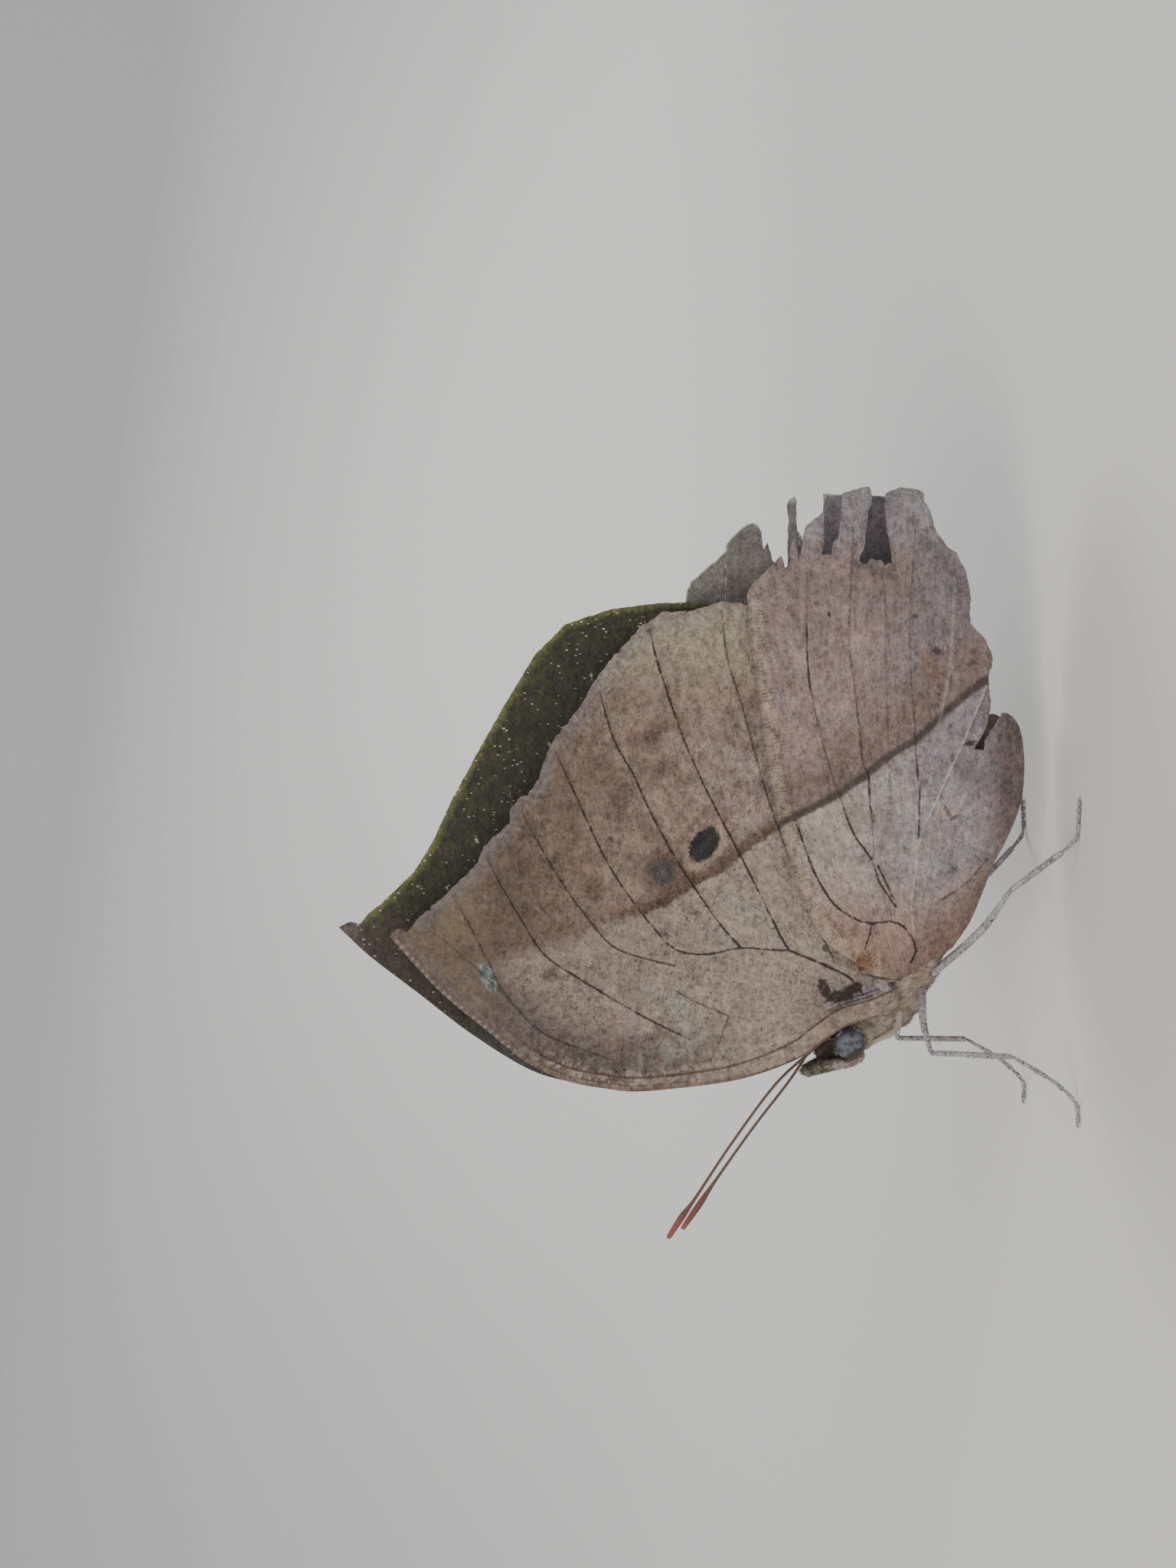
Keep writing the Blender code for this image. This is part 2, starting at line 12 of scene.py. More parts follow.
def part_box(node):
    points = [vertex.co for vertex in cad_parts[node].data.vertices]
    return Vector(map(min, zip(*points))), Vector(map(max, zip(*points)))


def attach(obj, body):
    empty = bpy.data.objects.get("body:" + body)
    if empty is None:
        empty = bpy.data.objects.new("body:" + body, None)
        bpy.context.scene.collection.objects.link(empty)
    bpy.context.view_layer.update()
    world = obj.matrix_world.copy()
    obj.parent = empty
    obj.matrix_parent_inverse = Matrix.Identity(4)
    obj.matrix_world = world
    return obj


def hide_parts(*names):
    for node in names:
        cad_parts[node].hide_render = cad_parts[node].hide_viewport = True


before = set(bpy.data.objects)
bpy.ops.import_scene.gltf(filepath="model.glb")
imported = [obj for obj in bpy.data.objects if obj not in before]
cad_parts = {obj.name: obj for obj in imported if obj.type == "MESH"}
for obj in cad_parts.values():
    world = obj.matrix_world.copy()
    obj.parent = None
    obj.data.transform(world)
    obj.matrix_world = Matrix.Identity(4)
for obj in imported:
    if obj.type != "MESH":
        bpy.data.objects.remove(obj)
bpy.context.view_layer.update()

# The forewings
# Each is a stiff clear sheet thinner than paper, ribbed with hollow veins and shingled with scales.
# They are hinged at the shoulders and shut over the back, the dead-leaf underside outside and the blue one inside.
MM = 0.001
SIDES = ((-1, "left"), (1, "right"))
HEAD_LAID_AT = Vector((-5.1, 0.0, 20.5))
HINGE_AT = np.array((-3.0, 19.2))
HINGE_OUT = np.array((0.767, 0.642))
FORE_APART = 1.0
FORE_SWELL = 2.0
FORE_SWELL_REACH = 5.2
OPENING = 0.022
SHEET_HALF = 0.10
RIM_HALF = 0.045
RIM_REACH = 1.5
RIB_HALF = 0.17
RIB_REACH = 0.24
GRID = 0.85
WING_MEASURES = ("rib", "ink", "rim", "front", "along", "midrib")
TONE_GAIN = 1.08
TONE_DEPTH = 1.3
DARKEST_TONE = 0.004
DARKEST_SHADE = 0.25
LEAF_ROUGHNESS = 0.82
LEAF_GLOSS = 0.2
LEAF_RELIEF = 0.3
head_low, head_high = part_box("head")
LAID_TO_ROW = (head_low + head_high) / 2 - HEAD_LAID_AT * MM


def soft_line(points, step):
    """Points along a soft curve through the given ones, about one step apart, in millimetres."""
    spots = np.array(points, float)
    spots = np.vstack([2 * spots[0] - spots[1], spots, 2 * spots[-1] - spots[-2]])
    out = []
    for a, b, c, d in zip(spots, spots[1:], spots[2:], spots[3:]):
        pieces = max(1, round(float(np.linalg.norm(c - b)) / step))
        for i in range(pieces):
            t = i / pieces
            out.append(
                0.5 * (2 * b + t * (c - a) + t * t * (2 * a - 5 * b + 4 * c - d) + t**3 * (3 * b - a - 3 * c + d))
            )
    out.append(spots[-2])
    return np.array(out)


def torn_line(points, step, depth, seed):
    """Straight runs between the given points, nibbled by about depth, as a worn edge is."""
    rng = np.random.default_rng(seed)
    spots = np.array(points, float)
    out = []
    for a, b in zip(spots, spots[1:]):
        along = b - a
        length = float(np.linalg.norm(along))
        across = np.array((-along[1], along[0])) / length
        pieces = max(1, round(length / step))
        for i in range(pieces):
            bite = rng.normal(0.0, depth) if i else 0.0
            out.append(a + along * i / pieces + across * bite)
    out.append(spots[-1])
    return np.array(out)


def stand_off(x, z, apart, swell, reach):
    """How far a wing stands from the middle plane, in millimetres: swollen at its hinge, then leaning slowly out."""
    d = (x - HINGE_AT[0]) * HINGE_OUT[0] + (z - HINGE_AT[1]) * HINGE_OUT[1]
    lean = OPENING * np.maximum(0.0, d - 10.0)
    ripple = 0.16 * np.sin(0.16 * x + 0.9) * np.sin(0.13 * z + 0.4)
    return apart + swell * np.exp(-((np.maximum(d, 0.0) / reach) ** 2)) + lean + ripple * np.clip(d / 20, 0, 1)


def fore_apart(x, z):
    return stand_off(x, z, FORE_APART, FORE_SWELL, FORE_SWELL_REACH)


def arc_of(line):
    """Length along a line up to each of its points."""
    return np.concatenate([[0.0], np.cumsum(np.linalg.norm(np.diff(line, axis=0), axis=1))])


def reach_of(points, line):
    """Distance of each point to a line, the arc length of the nearest place on it, and which side it is on."""
    best = np.full(len(points), 1e9)
    arc = np.zeros(len(points))
    side = np.ones(len(points))
    run = 0.0
    for a, b in zip(line, line[1:]):
        along = b - a
        length = float(np.linalg.norm(along))
        t = np.clip(((points - a) @ along) / length**2, 0.0, 1.0)
        off = points - a - t[:, None] * along
        far = np.linalg.norm(off, axis=1)
        nearer = far < best
        best = np.where(nearer, far, best)
        arc = np.where(nearer, run + t * length, arc)
        turn = along[0] * off[:, 1] - along[1] * off[:, 0]
        side = np.where(nearer, np.where(turn >= 0, 1.0, -1.0), side)
        run += length
    return best, arc, side


def inside(points, ring):
    hit = np.zeros(len(points), bool)
    for a, b in zip(ring, np.roll(ring, -1, axis=0)):
        if a[1] == b[1]:
            continue
        cut = (a[1] > points[:, 1]) != (b[1] > points[:, 1])
        hit ^= cut & (points[:, 0] < a[0] + (points[:, 1] - a[1]) / (b[1] - a[1]) * (b[0] - a[0]))
    return hit


def placed(name, data, *finishes):
    """Puts a mesh, smoothly shaded, or a lamp or camera into the scene."""
    if isinstance(data, bpy.types.Mesh):
        data.polygons.foreach_set("use_smooth", [True] * len(data.polygons))
    for finish in finishes:
        data.materials.append(finish)
    made = bpy.data.objects.new(name, data)
    bpy.context.scene.collection.objects.link(made)
    return made


def store(mesh, label, values):
    """Stores a number or a vector for each corner of a mesh."""
    kind, slot = ("FLOAT", "value") if values.ndim == 1 else ("FLOAT_VECTOR", "vector")
    mesh.attributes.new(label, kind, "POINT").data.foreach_set(slot, values.astype(np.float32).ravel())


def wing_sheet(name, ring, front_edge, ribs, midrib, apart, side, finishes):
    """One wing: both faces, the ribs raised in them, and the measures that its colours are laid by."""
    spots = [tuple(p) for p in ring]
    edges = [(i, (i + 1) % len(spots)) for i in range(len(spots))]
    face = list(range(len(spots)))
    lines = []
    for points, ink in ribs:
        line = soft_line(points, 0.9)
        keep = inside(line, ring) & (reach_of(line, np.vstack([ring, ring[:1]]))[0] > 0.12)
        line = line[: len(line) if keep.all() else max(2, int(np.argmin(keep[2:]) + 2))]
        lines.append((line, ink))
        ahead = np.gradient(line, axis=0)
        across = np.stack([-ahead[:, 1], ahead[:, 0]], 1) / np.linalg.norm(ahead, axis=1)[:, None]
        for shift in (-RIB_REACH, 0.0, RIB_REACH):
            start = len(spots)
            spots += [tuple(p) for p in line + across * shift]
            edges += [(i, i + 1) for i in range(start, len(spots) - 1)]
    low = ring.min(0)
    high = ring.max(0)
    rows = np.arange(low[1], high[1], GRID * 0.87)
    columns = np.arange(low[0], high[0], GRID)
    field = np.array([(x + 0.5 * GRID * (j % 2), z) for j, z in enumerate(rows) for x in columns])
    field = field[inside(field, ring)]
    closed = np.vstack([ring, ring[:1]])
    field = field[reach_of(field, closed)[0] > 0.35 * GRID]
    for line, _ in lines:
        field = field[reach_of(field, line)[0] > RIB_REACH + 0.2 * GRID]
    spots += [tuple(p) for p in field]
    flat, _, faces, *_ = delaunay_2d_cdt([Vector(p) for p in spots], edges, [face], 1, 1e-4)
    flat = np.array([tuple(p) for p in flat])
    x, z = flat[:, 0], flat[:, 1]
    rib = np.full(len(flat), 9.0)
    ink = np.zeros(len(flat))
    for line, dark in lines:
        far = reach_of(flat, line)[0]
        nearer = far < rib
        rib = np.where(nearer, far, rib)
        ink = np.where(nearer, dark, ink)
    rim = reach_of(flat, closed)[0]
    far, _, way = reach_of(flat, midrib)
    front, along, _ = reach_of(flat, front_edge)
    half = RIM_HALF + (SHEET_HALF - RIM_HALF) * np.clip(rim / RIM_REACH, 0, 1)
    half = half + (RIB_HALF - SHEET_HALF) * np.clip(1.0 - rib / RIB_REACH, 0, 1) * np.clip(rim, 0, 1)
    out = apart(x, z)
    slope_x = (apart(x + 0.2, z) - apart(x - 0.2, z)) / 0.4
    slope_z = (apart(x, z + 0.2) - apart(x, z - 0.2)) / 0.4
    normal = np.stack([-slope_x, np.ones(len(x)), -slope_z], 1)
    normal /= np.linalg.norm(normal, axis=1)[:, None]
    middle = np.stack([x, out, z], 1)
    outer = middle + normal * half[:, None]
    inner = middle - normal * half[:, None]
    points = np.vstack([outer, inner])
    points[:, 1] *= side
    points = points * MM + np.array(LAID_TO_ROW)
    count = len(flat)
    corners = []
    finish = []
    pairs = set()
    for tri in faces:
        order = tri if side * signed_area(flat, tri) < 0 else tri[::-1]
        corners.append(tuple(order))
        finish.append(0)
        corners.append(tuple(count + i for i in reversed(order)))
        finish.append(1)
        pairs.update((order[i], order[(i + 1) % len(order)]) for i in range(len(order)))
    rim_pairs = [(a, b) for a, b in pairs if (b, a) not in pairs]
    for a, b in rim_pairs:
        corners.append((b, a, count + a, count + b))
        finish.append(0)
    mesh = bpy.data.meshes.new(name)
    mesh.from_pydata(points.tolist(), [], corners)
    mesh.polygons.foreach_set("material_index", finish)
    measures = {"rib": rib, "ink": ink, "rim": rim, "midrib": -far * way, "front": front, "along": along}
    for label, values in measures.items():
        store(mesh, label, np.concatenate([values, values]))
    grain_plane = np.full(count, 7.0 + 20.0 * side)
    store(mesh, "laid", np.tile(np.stack([x, z, grain_plane], 1), (2, 1)))
    mesh.validate()
    sharp = {(min(a + k, b + k), max(a + k, b + k)) for a, b in rim_pairs for k in (0, count)}
    marks = mesh.attributes.new("sharp_edge", "BOOLEAN", "EDGE")
    flags = [tuple(sorted(edge.vertices)) in sharp for edge in mesh.edges]
    marks.data.foreach_set("value", flags)
    mesh.update()
    return placed(name, mesh, *finishes)


def signed_area(flat, tri):
    a, b, c = flat[tri[0]], flat[tri[1]], flat[tri[2]]
    return (b[0] - a[0]) * (c[1] - a[1]) - (b[1] - a[1]) * (c[0] - a[0])


class Wire:
    """A value in a material that can be added, scaled and mixed like a number."""

    def __init__(self, finish, socket):
        self.finish = finish
        self.socket = socket

    def math(self, operation, *others):
        return self.finish.node("Math", {"operation": operation}, self, *others)

    def __add__(self, other):
        return self.math("ADD", other)

    __radd__ = __add__

    def __mul__(self, other):
        return self.math("MULTIPLY", other)

    def __sub__(self, other):
        return self.math("SUBTRACT", other)

    def __rsub__(self, other):
        return self.finish.node("Math", {"operation": "SUBTRACT"}, other, self)

    def __pow__(self, other):
        return self.math("POWER", other)

    def __neg__(self):
        return self * -1.0

    def size(self):
        return self.math("ABSOLUTE")

    def most(self, other):
        return self.math("MAXIMUM", other)

    def least(self, other):
        return self.math("MINIMUM", other)

    def fade(self, low, high, start=0.0, end=1.0):
        """Start below low, end above high, and a soft passage between."""
        return self.finish.node("MapRange", {"interpolation_type": "SMOOTHSTEP"}, self, low, high, start, end)

    def wane(self, low, high):
        """1 below low, 0 above high, and a soft passage between."""
        return self.fade(low, high, 1.0, 0.0)


def tone(red, green, blue):
    """A scale colour as it shows in soft light, brought up to its own brightness and depth."""
    grey = (red + green + blue) / 3
    return tuple(max(DARKEST_TONE, (grey + (c - grey) * TONE_DEPTH) * TONE_GAIN) for c in (red, green, blue))


def as_given(*colour):
    return colour


class Finish:
    """One material, built node by node; lift is what its plain colours go through."""

    def __init__(self, name, colour=None, lift=tone):
        self.material = bpy.data.materials.new(name)
        self.material.use_nodes = True
        self.tree = self.material.node_tree
        self.tree.nodes.clear()
        self.lift = lift
        self.colour = colour and lift(*colour)

    def node(self, kind, settings, *values, out=0, **named):
        made = self.tree.nodes.new("ShaderNode" + kind)
        for key, value in settings.items():
            setattr(made, key, value)
        sockets = [s for s in made.inputs if s.enabled] if kind in ("Mix", "VectorMath") else made.inputs
        by_name = [(made.inputs[key.replace("_", " ")], value) for key, value in named.items()]
        for socket, value in [*zip(sockets, values), *by_name]:
            if isinstance(value, Wire):
                self.tree.links.new(value.socket, socket)
            elif value is not None:
                socket.default_value = (*value, 1.0) if socket.type == "RGBA" and len(value) == 3 else value
        live = [s for s in made.outputs if s.enabled]
        return Wire(self, live[out]) if live else None

    def read(self, name, vector=False):
        return self.node("Attribute", {"attribute_name": name}, out=1 if vector else 2)

    def split(self, vector):
        first = self.node("SeparateXYZ", {}, vector)
        return [Wire(self, part) for part in first.socket.node.outputs]

    def place(self):
        """The point on the piece in millimetres."""
        here = self.node("TexCoord", {}, out=3)
        return self.node("VectorMath", {"operation": "SCALE"}, here, Scale=1.0 / MM)

    def laid_place(self):
        """The same point, and its x, y and z in the layout that the wings are drawn in."""
        here = self.place()
        x, y, z = self.split(here)
        return here, x - LAID_TO_ROW.x / MM, y, z - LAID_TO_ROW.z / MM

    def stretch(self, vector, by):
        return self.node("VectorMath", {"operation": "MULTIPLY"}, vector, by)

    def noise(self, vector, scale, detail=2.0, rough=0.5):
        return self.node("TexNoise", {}, Vector=vector, Scale=scale, Detail=detail, Roughness=rough)

    def cells(self, vector, scale, out=0):
        return self.node("TexVoronoi", {"feature": "F1"}, Vector=vector, Scale=scale, out=out)

    def tiles(self, vector, scale):
        """A random value for each cell."""
        return self.node("SeparateColor", {}, self.cells(vector, scale, out=1))

    def mix(self, share, *colours):
        colours = [self.lift(*c) if isinstance(c, tuple) else c for c in colours]
        return self.node("Mix", {"data_type": "RGBA"}, share, *colours)

    def lay(self, share, colour):
        """Lays a colour over those so far, as thickly as share says."""
        self.colour = self.mix(share, self.colour, colour)

    def dim(self, share):
        """Darkens the colour so far by a grey value."""
        grey = self.node("CombineColor", {}, share, share, share)
        self.colour = self.node("Mix", {"data_type": "RGBA", "blend_type": "MULTIPLY"}, 1.0, self.colour, grey)

    def done(self, roughness, gloss=None, relief=None, depth=0.0, strength=0.6):
        """The finished material; depth is how high the relief stands, in millimetres."""
        bump = relief and self.node("Bump", {}, Height=relief, Strength=strength, Distance=depth * MM)
        shader = self.node(
            "BsdfPrincipled", {}, Base_Color=self.colour, Roughness=roughness, Normal=bump, Specular_IOR_Level=gloss
        )
        self.node("OutputMaterial", {}, shader)
        return self.material


def oval(f, at, half_long, half_short, lean):
    """0 at the middle of a tilted oval, 1 on its edge; lean is the long way's angle over +X, in degrees."""
    c, s = math.cos(math.radians(lean)), math.sin(math.radians(lean))
    u = ((f.x - at[0]) * c + (f.z - at[1]) * s) * (1.0 / half_long)
    v = ((f.z - at[1]) * c - (f.x - at[0]) * s) * (1.0 / half_short)
    return (u * u + v * v) ** 0.5


def wing_finish(name, lift=tone):
    """A finish that knows where on the laid-out wing it is, in millimetres."""
    f = Finish(name, None, lift)
    f.laid = f.read("laid", vector=True)
    f.x, f.z, _ = f.split(f.laid)
    return f


def ragged_edge(f, scale):
    """A noise that makes the edges of marks ragged."""
    f.ragged = f.noise(f.laid, scale, 3.0, 0.7) - 0.5
    return f.ragged


def lay_marks(f, marks):
    """Lays ragged ovals: middle, half length, half width, lean, raggedness, full within, gone beyond, share, colour."""
    for at, half_long, half_short, lean, wild, full, gone, share, scales in marks:
        mark = oval(f, at, half_long, half_short, lean) + f.ragged * wild
        f.lay(mark.wane(full, gone) * share, scales)


def leaf_grain(f, rough=1.0):
    """Shade and relief of the scale cover: single scales, mottling, soft blotches, and streaks out from the root."""
    laid = f.laid
    grain = f.noise(laid, 5.5, 2.0, 0.6)
    mottle = f.noise(laid, 1.9, 4.0, 0.72)
    blotch = f.noise(laid, 0.5, 3.0, 0.6)
    tile = f.tiles(f.stretch(laid, (0.8, 1.25, 1.0)), 5.2)
    from_x = f.x + 2.0
    from_z = f.z - 15.0
    turn = from_z.math("ARCTAN2", from_x)
    reach = (from_x * from_x + from_z * from_z) ** 0.5
    fan = f.node("CombineXYZ", {}, turn * 46.0, reach * 0.35, 0.0)
    streak = f.noise(fan, 1.0, 2.0, 0.5)
    pucker = f.noise(laid, 1.15, 2.0, 0.5)
    fine = (grain - 0.5) * 0.8 + (tile - 0.5) * 0.28
    wide = (mottle - 0.5) * 1.6 + (blotch - 0.5) * 0.9 + (pucker - 0.5) * 0.7 + (streak - 0.5) * 0.5
    relief = grain * 0.3 + mottle * 1.1 + blotch * 0.8 + pucker * 1.2 + tile * 0.12 + streak * 0.3
    return 1.0 + fine * rough + wide, relief, fan


def ink_line(f, rib, ink):
    """How dark the vein ink is here: a thread that swells and thins, with short barbs, and is rubbed off in places."""
    wear = f.noise(f.laid, 0.9, 3.0, 0.7)
    barbs = f.noise(f.laid, 4.0, 2.0, 0.7)
    width = rib + (barbs - 0.5) * 0.26 + (0.5 - wear) * 0.2 - ink.fade(0.9, 1.3) * 0.035
    return width.wane(0.03, 0.16) * ink.fade(-0.1, 0.95) * (wear.fade(0.34, 0.5) * 0.45 + 0.55)


def flecks(f):
    """Short dark curls and specks of scales that stand up, in loose groups."""
    laid = f.laid
    curl = (f.noise(laid, 1.7, 2.0, 0.6) - 0.5).size().wane(0.006, 0.022)
    broken = f.noise(laid, 2.6, 2.0, 0.6).fade(0.53, 0.58)
    speck = f.noise(f.stretch(laid, (1.0, 0.5, 1.0)), 4.2, 2.0, 0.7).fade(0.62, 0.67)
    return (curl * broken).most(speck) * f.noise(laid, 0.45, 2.0).fade(0.42, 0.6, 0.25, 1.0)


def tint(f, warm, cool):
    """Lays patches of scales that are warmer or greyer than their neighbours."""
    turn = f.noise(f.laid, 1.2, 4.0, 0.75)
    f.lay(turn.fade(0.52, 0.68) * 0.26, warm)
    f.lay(turn.wane(0.34, 0.48) * 0.26, cool)


def base_marks(f):
    """The rusty spot, the pale knob with painted highlights beside it, and the dark creases where both wings are
    hinged.
    """
    wing_ragged = f.ragged
    ragged = ragged_edge(f, 2.5)
    rust = oval(f, (2.6, 19.6), 0.8, 0.6, 60.0) + ragged * 2.0
    f.lay(rust.wane(1.0, 2.6) * 0.3, (0.20, 0.125, 0.085))
    grains = f.noise(f.laid, 5.0, 2.0, 0.7).fade(0.4, 0.6)
    f.lay(rust.wane(0.6, 1.4) * 0.9, f.mix(grains, (0.125, 0.066, 0.042), (0.235, 0.130, 0.080)))
    lay_marks(f, [((1.95, 19.75), 0.3, 0.22, 60.0, 0.9, 0.6, 1.3, 0.75, (0.07, 0.045, 0.035))])
    # Bluish-white patches beside the raised knob: painted highlights.
    knob_highlight = oval(f, (0.86, 18.9), 0.55, 0.42, -70.0).least(oval(f, (0.15, 17.1), 0.75, 0.35, 70.0)) + ragged * 1.1
    f.lay(knob_highlight.wane(0.6, 1.3) * 0.6, (0.245, 0.25, 0.262))
    knob = oval(f, (0.35, 17.75), 0.85, 0.5, 60.0) + ragged * 0.8
    f.lay(knob.wane(0.8, 1.05) * 0.75, (0.36, 0.30, 0.28))
    f.lay(knob.fade(0.9, 1.1) * knob.wane(1.2, 1.6) * 0.6, (0.10, 0.085, 0.08))
    lay_marks(f, [
        ((1.15, 18.1), 1.9, 0.13, -100.0, 1.2, 0.6, 1.2, 0.8, (0.05, 0.042, 0.036)),
        ((0.75, 16.2), 0.36, 0.3, 0.0, 0.9, 0.6, 1.2, 0.9, (0.04, 0.034, 0.03)),
    ])
    f.ragged = wing_ragged


def forewing_underside():
    f = wing_finish("forewing dead leaf side")
    laid, x, z, ragged = f.laid, f.x, f.z, ragged_edge(f, 2.4)
    shade, relief, _ = leaf_grain(f)
    rib, ink, rim, front, along, midrib = map(f.read, WING_MEASURES)
    fibre = f.node("CombineXYZ", {}, (x - z) * 0.8 + ragged * 1.5, (x + z) * 2.3 + ragged * 4.0, 0.0)
    fibre = f.noise(fibre, 1.0, 3.0, 0.65) - 0.5
    wave = (f.noise(laid, 0.8, 2.0) - 0.5) * 0.8 + ragged * 0.6
    edge = midrib + wave + 0.45
    smear = z.fade(37.0, 46.0)
    step = edge * (1.0 - smear * 0.8)
    inner = f.mix(z.fade(24.0, 46.0), (0.302, 0.254, 0.214), (0.247, 0.202, 0.176))
    inner = f.mix(front.fade(7.0, 2.0) * z.fade(30.0, 22.0), inner, (0.212, 0.170, 0.145))
    outer = f.mix(z.fade(36.0, 55.0), (0.254, 0.200, 0.167), (0.124, 0.094, 0.075))
    outer = f.mix(x.fade(26.0, 35.0), outer, (0.280, 0.244, 0.196))
    outer = f.mix(z.fade(38.0, 32.0) * x.wane(25.0, 29.0), outer, (0.300, 0.243, 0.214))
    outer = f.mix(z.fade(55.0, 60.0), outer, (0.176, 0.138, 0.104))
    f.colour = f.mix(step.fade(-0.3, 0.4), inner, outer)
    costal = f.mix(z.fade(53.0, 59.0), (0.104, 0.084, 0.076), (0.134, 0.106, 0.084))
    f.lay(front.wane(3.0, 7.5) * z.fade(29.0, 40.0) * 0.95, costal)
    grey_green = (1.6, 0.4, 1.4, 0.5, (0.275, 0.275, 0.24))
    lay_marks(f, [
        ((7.4, 30.6), 2.3, 1.1, 60.0, *grey_green),
        ((-2.4, 37.4), 1.9, 1.1, 20.0, *grey_green),
        ((-5.9, 38.6), 1.1, 0.8, 0.0, *grey_green),
        ((4.6, 33.0), 1.4, 0.8, 40.0, *grey_green),
    ])
    lichen = f.noise(laid, 0.34, 3.0, 0.6).fade(0.54, 0.68) * edge.wane(-6.0, -0.5) * z.wane(44.0, 50.0)
    f.lay(lichen * 0.4, (0.26, 0.25, 0.215))
    band = step.fade(-0.12, 0.2) * edge.wane(0.5, 2.2) * z.fade(39.0, 47.0, 1.0, 0.4)
    f.lay(band * 0.92, (0.087, 0.059, 0.046))
    cloud = f.noise(laid, 0.30, 4.0, 0.6).fade(0.44, 0.62) * edge.fade(1.0, 5.0) * x.wane(27.0, 32.0)
    f.lay(cloud * 0.6, (0.112, 0.085, 0.070))
    dusky = (-30.0, 1.4, 0.1, 1.5, 0.72, (0.088, 0.066, 0.056))
    lay_marks(f, [
        ((24.6, 40.0), 1.9, 1.2, *dusky),
        ((21.6, 39.4), 1.6, 1.2, *dusky),
        ((18.8, 43.2), 2.2, 1.4, *dusky),
        ((9.2, 45.8), 1.1, 0.8, *dusky),
        ((11.8, 53.0), 1.3, 0.9, *dusky),
        ((1.5, 50.2), 1.0, 0.7, *dusky),
    ])
    eye = oval(f, (14.1, 35.05), 2.0, 1.3, -35.0) + ragged * 0.75
    f.lay(eye.wane(1.2, 1.7) * 0.55, (0.25, 0.190, 0.150))
    f.lay(eye.fade(1.3, 1.6) * eye.wane(1.7, 2.2) * 0.5, (0.11, 0.075, 0.058))
    smudge = oval(f, (11.4, 39.1), 1.3, 1.25, 0.0) + ragged * 0.8
    f.lay(smudge.wane(1.1, 2.5) * 0.75, (0.085, 0.062, 0.050))
    pane = oval(f, (1.25, 56.2), 1.6, 0.75, 27.0) + ragged * 1.0
    glaze = f.node("CombineXYZ", {}, (x * 0.89 + z * 0.45) * 1.2, (z * 0.89 - x * 0.45) * 3.4, 0.0)
    glaze = f.mix(f.noise(glaze, 1.0, 3.0, 0.65).fade(0.42, 0.62), (0.085, 0.104, 0.097), (0.235, 0.255, 0.235))
    f.lay(pane.wane(0.8, 1.2) * 0.92, glaze)
    slate = oval(f, (-0.85, 20.4), 2.4, 0.55, -73.0) + ragged * 1.0
    lines = (front * 16.0 + ragged * 5.0).math("SINE").fade(-0.3, 0.6)
    f.lay(slate.wane(0.9, 1.7) * 0.5, (0.235, 0.220, 0.226))
    f.lay(slate.wane(0.7, 1.3) * (lines * 0.7 + 0.25), (0.062, 0.055, 0.062))
    hook = oval(f, (0.0, 23.3), 1.05, 0.62, 15.0).least(oval(f, (-0.75, 21.9), 1.6, 0.6, 100.0))
    hook = hook.least(oval(f, (0.05, 20.5), 1.1, 0.5, 115.0))
    hook = hook + (f.noise(laid, 3.4, 3.0, 0.75) - 0.5) * 1.5
    f.lay(hook.wane(0.7, 1.2) * 0.95, (0.026, 0.022, 0.018))
    base_marks(f)
    moss = oval(f, (3.9, 23.1), 0.42, 0.3, 30.0) + ragged
    f.lay(moss.wane(0.7, 1.2) * 0.9, (0.04, 0.05, 0.028))
    f.lay(flecks(f) * edge.fade(-0.5, 0.5, 0.8, 0.25), (0.06, 0.052, 0.042))
    lay_marks(f, [((3.95, 26.9), 0.5, 0.4, 0.0, 0.8, 0.6, 1.2, 0.6, (0.31, 0.295, 0.28))])
    rope = f.tiles(f.node("CombineXYZ", {}, along, front * 1.3, 0.0), 2.2)
    lane = front.wane(1.6, 2.4) * z.fade(30.0, 38.0, 0.4, 1.0) * z.fade(47.0, 55.0, 1.0, 0.15)
    line_at = z.fade(20.0, 36.0, 1.75, 1.32)
    pale = (front - line_at).wane(-0.1, 0.1)
    f.lay(pale * z.fade(24.0, 40.0, 0.7, 0.3), (0.265, 0.212, 0.175))
    f.lay(pale * z.fade(48.0, 56.0) * 0.85, (0.118, 0.096, 0.086))
    f.lay(rope.fade(0.5, 0.75) * lane * 0.65, (0.33, 0.275, 0.235))
    f.lay(rope.wane(0.15, 0.35) * lane * 0.5, (0.13, 0.095, 0.075))
    thread = (front - line_at + ragged * 0.2).size().wane(0.03, 0.19) * z.fade(48.0, 56.0, 1.0, 0.3)
    second = (front - 0.55 + ragged * 0.16).size().wane(0.03, 0.14) * z.fade(34.0, 40.0) * z.fade(48.0, 54.0, 1.0, 0.5)
    f.lay(thread.most(second * 0.8) * 0.85, (0.070, 0.047, 0.038))
    lay_marks(f, [((-2.0, 22.4), 1.6, 0.32, -70.0, 2.6, 0.5, 1.2, 0.6, (0.055, 0.044, 0.038))])
